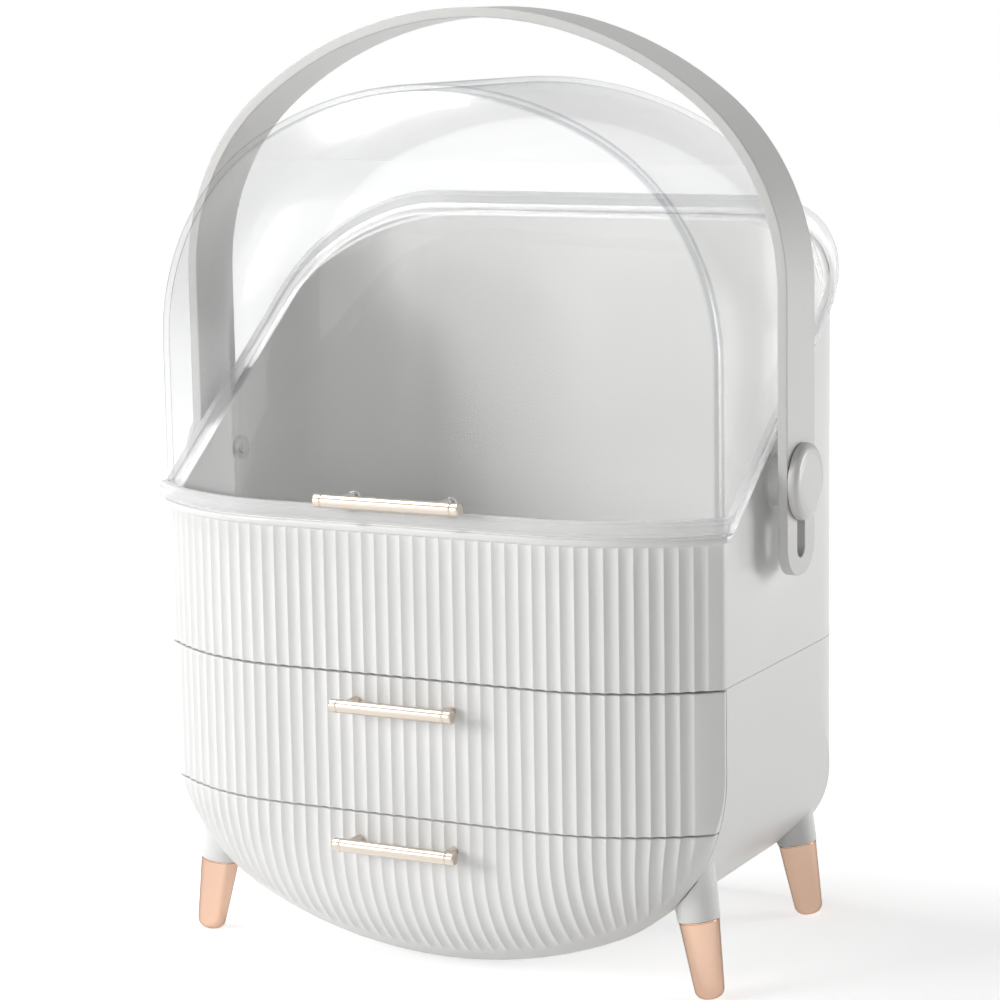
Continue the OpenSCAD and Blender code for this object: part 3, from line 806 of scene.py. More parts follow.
def cap_quads(skin: Skin, idx: np.ndarray, up: bool) -> None:
    """Closes a mirrored loop with strips across it.

    Args:
        skin: where to add them.
        idx: indices of the loop's points.
        up: whether the faces look up.
    """
    half = len(idx) // 2 + 1
    left = idx[-np.arange(half) % len(idx)]
    skin.weave(np.stack([left, idx[:half]]), flip=up)


def front_stations(count: int) -> tuple[np.ndarray, np.ndarray]:
    """Stations along the right half of the bow.

    Args:
        count: number of flutes across the whole front.
    Returns:
        Their arc lengths, and the height of the surface at each.
    """
    b = BODY
    fluted = FLUTES.stations(count)
    s_full = b.flat + b.bow_r * math.asin(b.run / b.bow_r)
    plain = np.linspace(fluted[-1], s_full - 0.5, 7)[1:]
    s = np.concatenate([fluted, plain])
    h = np.concatenate([FLUTES.lift(fluted), np.zeros(len(plain))])
    return s, h


def turned(skin: Skin, start: tuple[float, float, float], side: int,
           profile: Sequence[tuple[float, float]], n: int = 64) -> None:
    """A ring turned round an axis along X.

    Args:
        skin: where to add it.
        start: start of the axis.
        side: 1 where the lengths run to the right, -1 to the left.
        profile: closed (length, radius) section.
        n: points round each ring.
    """
    prof = np.array(profile, float)
    a = np.linspace(0, 2 * np.pi, n, endpoint=False)
    x = start[0] + side * prof[:, 0][:, None] + 0 * a
    y = start[1] + prof[:, 1][:, None] * np.cos(a)
    z = start[2] + prof[:, 1][:, None] * np.sin(a)
    idx = skin.add(np.stack([x, y, z], -1))
    idx = np.concatenate([idx, idx[:1]])
    skin.weave(idx, wrap=True, flip=side < 0)


def knuckle(skin: Skin, x0: float, x1: float, y_web: float, web: float, n: int = 40) -> None:
    """A hinge knuckle with a web, as an extruded outline round the pin's bore.

    Args:
        skin: where to add it.
        x0: left end.
        x1: right end.
        y_web: y of the far side of the web.
        web: height of the web from the hinge line, negative below it.
        n: points round the knuckle.
    """
    r = RIM
    k, bore = r.knuckle_r, 1.85
    web_half, web_back = 3.4, 0.4  # of a web that rises: half its thickness, and its shift in y
    a = np.linspace(0, 2 * np.pi, n, endpoint=False)
    ring = np.stack([np.cos(a), np.sin(a)], -1)
    out = ring * k
    if web < 0:
        pull = (out[:, 0] < 0) & (out[:, 1] <= 0)
        lo = np.linspace(0, 1, int(pull.sum()))
        out[pull] = np.stack([np.full(len(lo), y_web - r.hinge_y), web * np.sin(lo * np.pi / 2)], -1)
    else:
        pull = out[:, 1] > 0.01
        u = out[pull, 0] / k
        out[pull] = np.stack([u * web_half - web_back, np.full(len(u), web)], -1)
    inner = ring * bore
    loops = [np.column_stack([np.full(n, x), o[:, 0] + r.hinge_y, o[:, 1] + r.hinge_z])
             for x, o in ((x0, out), (x1, out), (x1, inner), (x0, inner))]
    idx = skin.add(np.stack(loops))
    idx = np.concatenate([idx, idx[:1]])
    skin.weave(idx, wrap=True)


def lathe(skin: Skin, foot: Sequence[float], axis: Sequence[float],
          profile: Sequence[tuple[float, float]], n: int = 72) -> None:
    """A solid turned round an axis, cut off at the floor.

    Args:
        skin: where to add it.
        foot: start of the axis.
        axis: direction of the axis.
        profile: (length, radius) pairs that start and end on the axis.
        n: points round each ring.
    """
    w = np.array(axis, float) / np.linalg.norm(axis)
    u = np.cross(w, [0.0, 0.0, 1.0] if abs(w[2]) < 0.9 else [1.0, 0.0, 0.0])
    u /= np.linalg.norm(u)
    v = np.cross(w, u)
    a = np.linspace(0, 2 * np.pi, n, endpoint=False)[None, :, None]
    prof = np.array(profile, float)
    length, radius = prof[:, 0][:, None, None], prof[:, 1][:, None, None]
    p = np.array(foot, float) + length * w + radius * (np.cos(a) * u + np.sin(a) * v)
    p[..., 2] = np.maximum(p[..., 2], 0.0)
    skin.weave(skin.add(p), wrap=True)


def arc(cx: float, cy: float, r: float, a0: float, a1: float, n: int) -> list[tuple[float, float]]:
    """Points of an arc in a turned profile.

    Args:
        cx: length at its centre.
        cy: radius at its centre.
        r: its own radius.
        a0: first angle in degrees.
        a1: last angle in degrees.
        n: number of points.
    Returns:
        (length, radius) pairs.
    """
    a = np.radians(np.linspace(a0, a1, n))
    return list(zip(cx + r * np.cos(a), cy + r * np.sin(a)))


def mirrored(v: np.ndarray, sign: int) -> np.ndarray:
    """Values from the left end to the right end, with the left ones times sign."""
    return np.concatenate([sign * v[:0:-1], v])


def toward(a: np.ndarray, b: np.ndarray) -> np.ndarray:
    """Unit steps in x and z from each point of a to its partner in b."""
    d = (b - a)[:, [0, 2]]
    return d / np.maximum(np.linalg.norm(d, axis=1, keepdims=True), 1e-9)


# ----------------------------------------------------------------- sub-assemblies


@dataclass
class Tray:
    """The tray moulding: fluted bow, plain sides, slanted rim with a lip, floor.

    Attributes:
        flutes: number of flutes across the front.
        fade: depths below the lip's foot, each with the share of the flutes' depth there.
        foot: insets of the lower edge, each with its height and share of the flutes' depth.
        lip: insets from the lip's face and heights over the rim, from its rounded edge on.
        edge: rounding of the rim's inner edge.
        cove: insets from the inner face and heights over the tray's underside, down to the floor.
        boss: closed (length, radius) section of the pivot bosses.
        boss_in: how far they reach into the side wall.
        knuckles: left ends of the knuckles of each hinge, from its middle.
        knuckle_w: width of a knuckle.
        web: height of the knuckles' webs below the hinge line.
        web_in: how far the webs reach into the back wall.
    """

    flutes: int = 44
    fade: Pairs = ((1.2, 1.0), (0.95, 0.92), (0.7, 0.66), (0.5, 0.3), (0.35, 0.0), (0.1, 0.0))
    foot: tuple[tuple[float, float, float], ...] = (
        (0.9, 0.0, 0.0), (0.3, 0.0, 0.9), (0.08, 0.12, 0.95), (0.0, 0.4, 1.0), (0.0, 1.4, 1.0),
    )
    lip: Pairs = ((0.0, -1.2), (0.15, -0.85), (0.5, -0.7), (2.2, -0.7), (2.3, -0.1), (2.5, 0.0))
    edge: float = 0.8
    cove: Pairs = ((0.0, 6.0), (0.35, 4.5), (1.3, 3.4), (2.8, 3.0))
    boss: Pairs = (
        (0.0, 12.6), (1.9, 12.6), (2.3, 12.0), (2.8, 11.3), (8.2, 11.0), (8.6, 10.8),
        (8.8, 10.4), (8.8, 3.05), (0.0, 3.05),
    )
    boss_in: float = 2.0
    knuckles: tuple[float, float] = (-16.0, 8.0)
    knuckle_w: float = 8.0
    web: float = 8.0
    web_in: float = 0.5

    def row(
        self, t: float, z: float | Callable[[np.ndarray], np.ndarray], h: np.ndarray | float = 0.0
    ) -> np.ndarray:
        """One level of the moulding.

        Args:
            t: inset of its plan.
            z: its height, or a function that gives the height at each y.
            h: outset of the stations along the bow.
        Returns:
            A loop of points (n, 3), with the same n for every level.
        """
        s, _ = front_stations(self.flutes)
        xy = mirror_loop(plan_half(t, s, h))
        heights = z(xy[:, 1]) if callable(z) else np.full(len(xy), float(z))
        return np.column_stack([xy, heights])

    @staticmethod
    def over(dz: float) -> Callable[[np.ndarray], np.ndarray]:
        """Height dz over the rim, as a function of y."""
        return lambda y: RIM.at(y) + dz

    def outside(self) -> list[np.ndarray]:
        """Levels from the lower edge up the fluted face to the foot of the lip.

        Returns:
            A loop of points for each level.
        """
        b = BODY
        _, lift = front_stations(self.flutes)
        rows = [self.row(t, b.tray_z + dz, share * lift) for t, dz, share in self.foot]
        foot, low = b.tray_z + self.foot[-1][1], RIM.z - RIM.lip_h
        face = low - self.fade[0][0] - foot
        rows += [self.row(0, foot + q * face, lift) for q in (0.33, 0.66)]
        return rows + [self.row(0, low - dz, share * lift) for dz, share in self.fade]

    def inside(self) -> list[np.ndarray]:
        """Levels from the foot of the lip over the rim and down to the floor.

        Returns:
            A loop of points for each level.
        """
        b, r, e = BODY, RIM, self.edge
        out = -r.lip_out
        under = ((-0.05, -0.05), (out + 0.45, 0), (out + 0.12, 0.12), (out, 0.5))
        rows = [self.row(t, self.over(dz - r.lip_h)) for t, dz in under]
        rows += [self.row(out + t, self.over(dz)) for t, dz in self.lip]
        rows += [self.row(b.wall + t, self.over(dz)) for t, dz in ((-e, 0), (-e / 4, -e / 4), (0, -e))]
        end = b.tray_z + self.cove[0][1]
        rows += [self.row(b.wall, lambda y, q=q: (r.at(y) - e) * (1 - q) + q * end)
                 for q in (0.3, 0.6)]
        return rows + [self.row(b.wall + t, b.tray_z + dz) for t, dz in self.cove]

    def make(self, finish: bpy.types.Material) -> None:
        """Builds the moulding as one swept wall with its floor, and its fittings.

        Args:
            finish: material.
        """
        skin = Skin()
        idx = skin.add(np.stack(self.outside() + self.inside()))
        skin.weave(idx, wrap=True)
        cap_quads(skin, idx[0], up=False)
        cap_quads(skin, idx[-1], up=True)
        skin.build("upper_tray_moulding", finish, ["upper_tray"])
        self.fittings(finish)

    def fittings(self, finish: bpy.types.Material) -> None:
        """Builds the pivot bosses on the sides and the hinge knuckles behind the back wall.

        Args:
            finish: material.
        """
        b, r = BODY, RIM
        skin = Skin()
        for side in (-1, 1):
            turned(skin, (side * (b.half - self.boss_in), r.pivot_y, r.pivot_z), side, self.boss)
            for lo in self.knuckles:
                x = side * r.hinge_x + lo
                knuckle(skin, x, x + self.knuckle_w, b.depth - self.web_in, -self.web)
        skin.build("tray_fittings", finish, sharp=30)


@dataclass(frozen=True)
class Foot:
    """The metal tips of the feet.

    Attributes:
        front: x and y of the end of the right front tip.
        rear: x and y of the end of the right rear tip.
        splay: lean outwards in degrees.
        lean: lean towards the front or back in degrees.
        length: length of a tip along its axis.
        top_r: radius at the joint.
        end_r: radius at the lower end.
        fillet: radius of the rounded end.
        lift: gap under the tip.
        step: depth of the fine step below the joint.
    """

    front: tuple[float, float] = (129.3, 6.2)
    rear: tuple[float, float] = (122.1, 142.2)
    splay: float = 9.7
    lean: float = 2.0
    length: float = 35.6
    top_r: float = 9.0
    end_r: float = 6.7
    fillet: float = 4.6
    lift: float = 0.05
    step: float = 0.22

    def profile(self) -> list[tuple[float, float]]:
        """Section of a tip: a rounded end, a taper and a fine step at the joint.

        Returns:
            (length, radius) pairs from the floor to the joint.
        """
        low, e, top = self.lift, self.end_r, self.length - 0.9
        groove = self.top_r - self.step
        points = [(low, 0.0), (low, 1.2)]
        points += arc(self.fillet + low, e - self.fillet, self.fillet, 180, 94, 9)
        points += [(self.fillet + (top - self.fillet) * q, e + (self.top_r - e) * q)
                   for q in np.linspace(0.05, 1, 8)]
        points += [(top + 0.15, groove), (top + 0.55, groove), (self.length - 0.2, self.top_r - 0.05),
                   (self.length - 0.03, self.top_r - 0.3), (self.length - 0.03, 0.0)]
        return points

    def make(self, finish: bpy.types.Material) -> None:
        """Turns the four tips.

        Args:
            finish: material.
        """
        for end, (x, y), lean in (("front", self.front, -self.lean), ("rear", self.rear, self.lean)):
            for hand, side in (("left", -1), ("right", 1)):
                a, b = math.radians(lean), math.radians(-side * self.splay)
                axis = (math.cos(a) * math.sin(b), -math.sin(a), math.cos(a) * math.cos(b))
                skin = Skin()
                lathe(skin, (side * x, y, 0.0), axis, self.profile())
                node = f"{end}_{hand}_foot_tip"
                skin.build(node + "_turned", finish, [node], "body", 34)


@dataclass(frozen=True)
class Knob:
    """The knobs: a short rim, a broad round shoulder and a flat face with a fine ring.

    Attributes:
        x: where the knob starts, from the middle of the object.
        radius: radius of the rim.
        rim: length of the rim.
        height: length of the whole knob.
        face_r: radius where the shoulder meets the face.
        ring_r: radius of the fine ring in the face.
        ring: depth of that ring.
    """

    x: float = 152.3
    radius: float = 17.1
    rim: float = 1.7
    height: float = 4.75
    face_r: float = 13.3
    ring_r: float = 12.6
    ring: float = 0.15

    def profile(self) -> list[tuple[float, float]]:
        """Section of a knob.

        Returns:
            (length, radius) pairs from the inside to the face.
        """
        r, h, g, round_r = self.radius, self.height, self.ring_r, self.radius - self.face_r
        points = [(0.0, 0.0), (0.0, r - 0.5), (0.15, r - 0.1), (0.4, r), (self.rim, r)]
        points += [(h - (h - self.rim) * (1 - math.sin(q)), self.face_r + round_r * math.cos(q))
                   for q in np.radians(np.linspace(8, 90, 10))]
        points += [(h - 0.03, g + 0.3), (h - self.ring, g + 0.1), (h - self.ring, g - 0.1),
                   (h - 0.03, g - 0.3), (h, g - 0.7), (h, 0.0)]
        return points

    def make(self, finish: bpy.types.Material) -> None:
        """Turns the two knobs.

        Args:
            finish: material.
        """
        for hand, side in (("left", -1), ("right", 1)):
            skin = Skin()
            start = (side * self.x, RIM.pivot_y, RIM.pivot_z)
            lathe(skin, start, (side, 0.0, 0.0), self.profile(), 96)
            skin.build(f"{hand}_knob_turned", finish, [f"{hand}_knob"], "pivots", 34)


@dataclass
class Front:
    """A hollow fluted drawer front.

    Attributes:
        number: 1 for the upper front and 2 for the lower one.
        flutes: number of flutes across it.
        round_r: reach of the rounding of its crossing edges.
        round_in: how far that rounding sets the surface back.
        shallow: share of the flutes' depth that the rounding takes away.
        lean_x: x beyond which the lower front's flutes lean in.
        lean_run: distance over which their lean grows to half the outline's.
        fade_run: height over which the lower front's flutes reach their depth.
        side_in: how far the lower front's upper corners stand inside the outline.
        rear: y that the inner surface doesn't pass.
        least: least height of the lower front's hollow.
        chamfer: chamfer round the back.
    """

    number: int
    flutes: int = 42
    round_r: float = 0.6
    round_in: float = 0.5
    shallow: float = 0.2
    lean_x: float = 75.0
    lean_run: float = 55.0
    fade_run: float = 5.0
    side_in: float = 0.15
    rear: float = -1.2
    least: float = 0.4
    chamfer: float = 0.25

    @property
    def lo(self) -> float:
        """Height of the upper front's lower edge."""
        return BODY.shelf_z + BODY.seam_2 / 2

    @property
    def hi(self) -> float:
        """Height of the upper edge."""
        b = BODY
        return b.tray_z - b.seam_1 / 2 if self.number == 1 else b.shelf_z - b.seam_2 / 2

    def columns(self) -> tuple[np.ndarray, np.ndarray, np.ndarray]:
        """Columns of points, from left to right.

        Returns:
            Their arc lengths, surface heights and side shares. A side share is 0 on
            the flutes and runs to 1 at the outline.
        """
        s = FLUTES.stations(self.flutes)
        h = FLUTES.lift(s)
        q = np.array([0.12, 0.3, 0.5, 0.7, 0.88, 0.96, 1.0])
        s = np.concatenate([s, np.full(len(q), s[-1])])
        h = np.concatenate([h, np.zeros(len(q))])
        share = np.concatenate([np.zeros(len(s) - len(q)), q])
        return mirrored(s, -1), mirrored(h, 1), mirrored(share, 1)

    def rounding(self, near: np.ndarray) -> tuple[np.ndarray, np.ndarray]:
        """Rounding of a crossing edge.

        Args:
            near: distance from the edge.
        Returns:
            A share that is 1 at the edge and 0 past the rounding, and the setback there.
        """
        ease = np.clip(1 - near / self.round_r, 0, 1)
        return ease, self.round_in * (1 - np.sqrt(np.clip(1 - ease**2, 0, 1)))

    def upper(self) -> np.ndarray:
        """Outer surface of the upper drawer's front.

        Returns:
            Points (columns, levels, 3).
        """
        s, h, share = self.columns()
        lo, hi = self.lo, self.hi
        edge = np.array([0, 0.08, 0.28, self.round_r])
        z = np.concatenate([lo + edge, np.linspace(lo + 3, hi - 3, 16), hi - edge[::-1]])
        ease, back = self.rounding(np.minimum(z - lo, hi - z))
        xy = bow_point(s)
        normal = bow_point(s, 1.0) - xy
        out = h[:, None] * (1 - self.shallow * ease**2) - back
        base = xy[:, None, :] + normal[:, None, :] * out[..., None]
        fluted = np.abs(xy[0, 0])
        side = np.sign(s)[:, None] * (fluted + (belly_w(z)[None, :] - fluted) * share[:, None])
        x = np.where(share[:, None] > 0, side, base[..., 0])
        y = np.where(share[:, None] > 0, -bow_at(side) + back, base[..., 1])
        return np.stack([x, y, np.broadcast_to(z, x.shape)], -1)

    def lower(self) -> np.ndarray:
        """Outer surface of the lower drawer's front, whose outer flutes lean in.

        A column at half width a on the upper edge stands, at height z, at
        a - c (w(top) - w(z)), where w is the outline's half width and c grows
        from 0 beyond lean_x.

        Returns:
            Points (columns, levels, 3).
        """
        s, h, share = self.columns()
        top = self.hi
        w_top = float(belly_w(top))
        ax = np.abs(bow_point(s)[:, 0])
        fluted = ax[-1]
        ax = np.where(share > 0, fluted + (w_top - self.side_in - fluted) * share, ax)
        c = 0.5 * (np.maximum(ax - self.lean_x, 0) / self.lean_run) ** 1.5
        foot = (ax - c * w_top) / (1 - c)
        lo = belly_at(foot)
        levels = np.concatenate([[0, 0.006, 0.02, 0.045], np.linspace(0.08, 0.985, 40) ** 1.25,
                                 [0.993, 0.997, 0.999, 1]])
        z = lo[:, None] + (top - lo)[:, None] * levels[None, :]
        x = ax[:, None] - c[:, None] * (w_top - belly_w(z))
        x[:, 0] = foot
        up = np.clip((z - lo[:, None] - BODY.border) / self.fade_run, 0, 1)
        fade = np.sqrt(np.clip(1 - (1 - up) ** 2, 0, 1))
        near, back = self.rounding(top - z)
        e = 0.3  # step of the slopes
        slope_x = (lower_y(x + e, z, top) - lower_y(x - e, z, top)) / (2 * e)
        slope_z = (lower_y(x, np.minimum(z + e, top), top) - lower_y(x, z - e, top)) / (2 * e)
        normal = np.stack([slope_x, -np.ones_like(x), slope_z * (1 - near)], -1)
        normal /= np.linalg.norm(normal, axis=-1, keepdims=True)
        lift = h[:, None] * fade * (1 - self.shallow * near**2) - back
        lift[:, 0] = 0
        p = np.stack([x, lower_y(x, z, top), z], -1) + normal * lift[..., None]
        p[:, -1, 2] = top
        p[..., 0] *= np.where(s < 0, -1, 1)[:, None]
        return p

    def hollow(self, outer: np.ndarray) -> np.ndarray:
        """Inner surface of the front, one wall behind the outer one.

        Args:
            outer: points of the outer surface.
        Returns:
            Points in the same array shape.
        """
        t = BODY.front_wall
        half = np.maximum(np.abs(outer[-1, :, 0]), 1e-3)
        x = outer[..., 0] * np.clip((half - t) / half, 0, 1)[None, :]
        lo = outer[..., 2].min(axis=1, keepdims=True)
        span = np.maximum(outer[..., 2].max(axis=1, keepdims=True) - lo, 1e-3)
        share = (outer[..., 2] - lo) / span
        if self.number == 1:
            z = lo + t + share * (span - 2 * t)
            y = -bow_at(x, t)
            x = np.clip(x, -belly_w(z, t), belly_w(z, t))
        else:
            top = self.hi - t
            bottom = np.minimum(belly_at(x, t), top - self.least)
            z = bottom + share * (top - bottom)
            y = lower_y(x, z, top, t)
        return np.stack([x, np.minimum(y, self.rear), z], -1)

    def make(self, finish: bpy.types.Material) -> None:
        """Builds the closed shell of the front.

        Args:
            finish: material.
        """
        outer = self.upper() if self.number == 1 else self.lower()
        inner = self.hollow(outer)
        chamfer, back = self.chamfer, -BODY.gap
        rim, rear = loop_points(outer), loop_points(inner)
        side, edge = rim.copy(), rim.copy()
        side[:, 1] = back - chamfer
        edge[:, 1] = back
        edge[:, [0, 2]] += chamfer * toward(rim, rear)
        rear[:, 1] = back
        skin = Skin()
        skin.shell(outer, [side, edge, rear], inner)
        name = f"drawer_{self.number}_front"
        skin.build(name + "_fluted", finish, [name], f"drawer_{self.number}")


@dataclass
class Cover:
    """The clear dome with its pillow front, round back and flange.

    Attributes:
        points: steps along each ring of the dome.
        section: closed section of the flange, as insets from its face and heights.
        inner: inset of the flange's inner face from the plan.
        last: arc length of the flange's last station along the bow.
        ends: share of the bow's angle at the last front ring, outside and inside.
        knuckle: half width of a hinge knuckle.
        web: height of the knuckles' webs above the hinge line.
    """

    points: int = 150
    section: Pairs = (
        (0.9, 0.0), (0.5, 0.12), (0.4, 0.5), (0.4, 1.5), (0.1, 1.7), (0.0, 2.1), (0.0, 4.6),
        (0.12, 5.0), (0.6, 5.2), (0.8, 5.5), (0.8, 6.4), (1.0, 6.85), (1.5, 7.0),
    )
    inner: float = -0.02
    last: float = 147.9
    ends: tuple[float, float] = (0.994, 0.968)
    knuckle: float = 7.6
    web: float = 5.6

    def ring(self, t: float, y: float, scale: float = 1.0) -> np.ndarray:
        """The dome's outline at one depth, cut at the rim.

        Args:
            t: inset of the outline.
            y: depth.
            scale: size about the middle of the cut, 0 to 1.
        Returns:
            Points from right to left.
        """
        b, r = BODY, RIM
        cx, cz = b.half - r.small_r, r.top - r.big_r
        sz = cz + rise(r.big_r, r.small_r, b.half)
        q = math.atan2(sz - cz, cx)
        z_c = float(r.at(y)) + r.gap
        a1 = np.linspace(np.pi / 2, q, 160)
        a2 = np.linspace(q, 0, 200)[1:]
        x = np.concatenate([(r.big_r - t) * np.cos(a1), cx + (r.small_r - t) * np.cos(a2)])
        z = np.concatenate([cz + (r.big_r - t) * np.sin(a1), sz + (r.small_r - t) * np.sin(a2)])
        if z[-1] > z_c:
            x, z = np.append(x, x[-1]), np.append(z, z_c)
        length = np.concatenate([[0], np.cumsum(np.hypot(np.diff(x), np.diff(z)))])
        end = np.interp(-z_c, -z, length)
        at = np.linspace(0, end, self.points // 2 + 1)
        hx, hz = np.interp(at, length, x), np.interp(at, length, z)
        px = np.concatenate([hx[::-1], -hx[1:]]) * scale
        pz = z_c + (np.concatenate([hz[::-1], hz[1:]]) - z_c) * scale
        return np.column_stack([px, np.full(len(px), y), pz])

    @staticmethod
    def on_bow(a: float, t: float) -> tuple[float, float]:
        """Inset of the outline and y of the pillow front.

        Args:
            a: angle along the bow, 0 at its flat middle.
            t: inset of the skin.
        Returns:
            The inset and y.
        """
        b = BODY
        return (b.run - (b.bow_r - t) * math.sin(a),
                b.bow_r - b.front - (b.bow_r - t) * math.cos(a))

    def dome(self, t: float) -> tuple[np.ndarray, np.ndarray]:
        """All rings of the dome, set in by t, from the front centre to the back centre.

        Args:
            t: inset.
        Returns:
            The rings, and the share of a painted shade line on each ring, 1 along the front crease.
        """
        b = BODY
        beta = math.asin(b.run / b.bow_r)
        rings = [self.ring(*self.on_bow(0.0, t), scale=k) for k in (0.0, 0.35, 0.7, 0.9)]
        end = self.ends[0] if t == 0 else self.ends[1]
        turns = np.append(np.linspace(0, beta * (end - 0.02), 18), [beta * (end - 0.008), beta * end])
        rings += [self.ring(*self.on_bow(float(a), t)) for a in turns]
        # shares of the painted shade line along the front crease
        crease_shade_marks = [0.0] * (len(rings) - 2) + [0.3, 1.0, 1.0, 0.7, 0.0]
        y0 = -b.edge + (0 if t == 0 else t * (1 - math.sin(beta)) / math.cos(beta))
        rings += [self.ring(t + 0.12, y0 + 0.15), self.ring(t, y0 + 0.8), self.ring(t, y0 + 1.6)]
        rings += [self.ring(t, float(y)) for y in np.linspace(3.0, b.depth - b.rear_r, 12)]
        for a in np.linspace(0, np.pi / 2, 22)[1:]:
            rings.append(self.ring(b.rear_r - (b.rear_r - t) * math.cos(a),
                                   b.depth - b.rear_r + (b.rear_r - t) * math.sin(a)))
        rings += [self.ring(b.rear_r, b.depth - t, scale=k) for k in (0.7, 0.35, 0.0)]
        crease_shade_marks += [0.0] * (len(rings) - len(crease_shade_marks))  # none behind the crease
        return np.stack(rings), np.array(crease_shade_marks)

    def make(self) -> None:
        """Builds the dome with its own clear plastic, and the flange with a milkier one."""
        skin = Skin()
        (outer, crease_shade_marks), (inner, _) = self.dome(0.0), self.dome(RIM.cover_wall)
        skin.shell(outer, [], inner, crease_shade_marks[:, None])
        skin.build("cover_dome", Clear("clear plastic").make(), ["lid_cover"], "cover",
                   34)
        self.flange(Clear("clear flange", milk=0.4).make())

    def flange(self, finish: bpy.types.Material) -> None:
        """Builds the flange swept round the foot of the dome, and its hinge knuckles.

        Args:
            finish: material.
        """
        r, flat = RIM, BODY.flat
        s = np.concatenate([np.linspace(0, flat, 30), np.linspace(flat, self.last, 60)[1:]])
        section = [(t - r.flange_out, dz) for t, dz in self.section]
        section += [(self.inner, self.section[-1][1]), (self.inner, 0.0)]
        rows = []
        for t, dz in section:
            xy = mirror_loop(plan_half(t, s))
            rows.append(np.column_stack([xy, r.at(xy[:, 1]) + r.gap + dz]))
        skin = Skin()
        idx = skin.add(np.stack(rows))
        idx = np.concatenate([idx, idx[:1]])
        skin.weave(idx, wrap=True)
        for side in (-1, 1):
            x = side * r.hinge_x
            knuckle(skin, x - self.knuckle, x + self.knuckle, 0, self.web)
        skin.build("cover_flange", finish, [], "cover", 30)


# ----------------------------------------------------------------- stage


@dataclass(frozen=True)
class Shot:
    """The camera solved from the photograph.

    Attributes:
        place: its place.
        azimuth: turn to the right of the front, in degrees.
        elevation: how far it looks down, in degrees.
        roll: its roll, in degrees.
        focal_px: focal length in pixels.
        pixels: width of the photograph in pixels.
        sensor: width of the sensor that Blender is given.
    """

    place: tuple[float, float, float] = (645.7, -1188.0, 435.7)
    azimuth: float = 27.30
    elevation: float = 9.31
    roll: float = -0.951
    focal_px: float = 3082.6
    pixels: float = 1000.0
    sensor: float = 36.0

    def make(self) -> None:
        """Adds the camera and makes it the scene's."""
        a, e, r = (math.radians(v) for v in (self.azimuth, self.elevation, self.roll))
        ahead = np.array([-math.sin(a) * math.cos(e), math.cos(a) * math.cos(e), -math.sin(e)])
        right = np.array([math.cos(a), math.sin(a), 0.0])
        up = np.cross(right, ahead)
        r2 = math.cos(r) * right + math.sin(r) * up
        u2 = -math.sin(r) * right + math.cos(r) * up
        data = bpy.data.cameras.new("photo_camera")
        data.sensor_width = self.sensor
        data.lens = self.focal_px * self.sensor / self.pixels
        data.clip_start, data.clip_end = 0.05, 50.0
        cam = bpy.data.objects.new("photo_camera", data)
        m = Matrix.Identity(4)
        place = to_row(np.array(self.place))
        for k in range(3):
            m[k][0], m[k][1], m[k][2], m[k][3] = r2[k], u2[k], -ahead[k], place[k]
        cam.matrix_world = m
        bpy.context.scene.collection.objects.link(cam)
        bpy.context.scene.camera = cam


@dataclass(frozen=True)
class Lamp:
    """A square soft box.

    Attributes:
        name: its name.
        place: its place in the row frame, in metres.
        power: power in watts.
        aim: point that it faces.
        size: its side in metres.
    """

    name: str
    place: tuple[float, float, float]
    power: float
    aim: tuple[float, float, float] = (0.0, 0.0, 0.2)
    size: float = 0.9

    def make(self) -> None:
        """Adds the lamp, turned to its aim and unseen by the camera."""
        data = bpy.data.lights.new(self.name, "AREA")
        data.shape = "SQUARE"
        data.size = self.size
        data.energy = self.power
        obj = bpy.data.objects.new(self.name, data)
        d = np.array(self.place) - np.array(self.aim)
        d /= np.linalg.norm(d)
        x = np.cross([0.0, 0.0, 1.0], d)
        x /= np.linalg.norm(x)
        y = np.cross(d, x)
        m = Matrix.Identity(4)
        for k in range(3):
            m[k][0], m[k][1], m[k][2], m[k][3] = x[k], y[k], d[k], self.place[k]
        obj.matrix_world = m
        obj.visible_camera = False
        bpy.context.scene.collection.objects.link(obj)


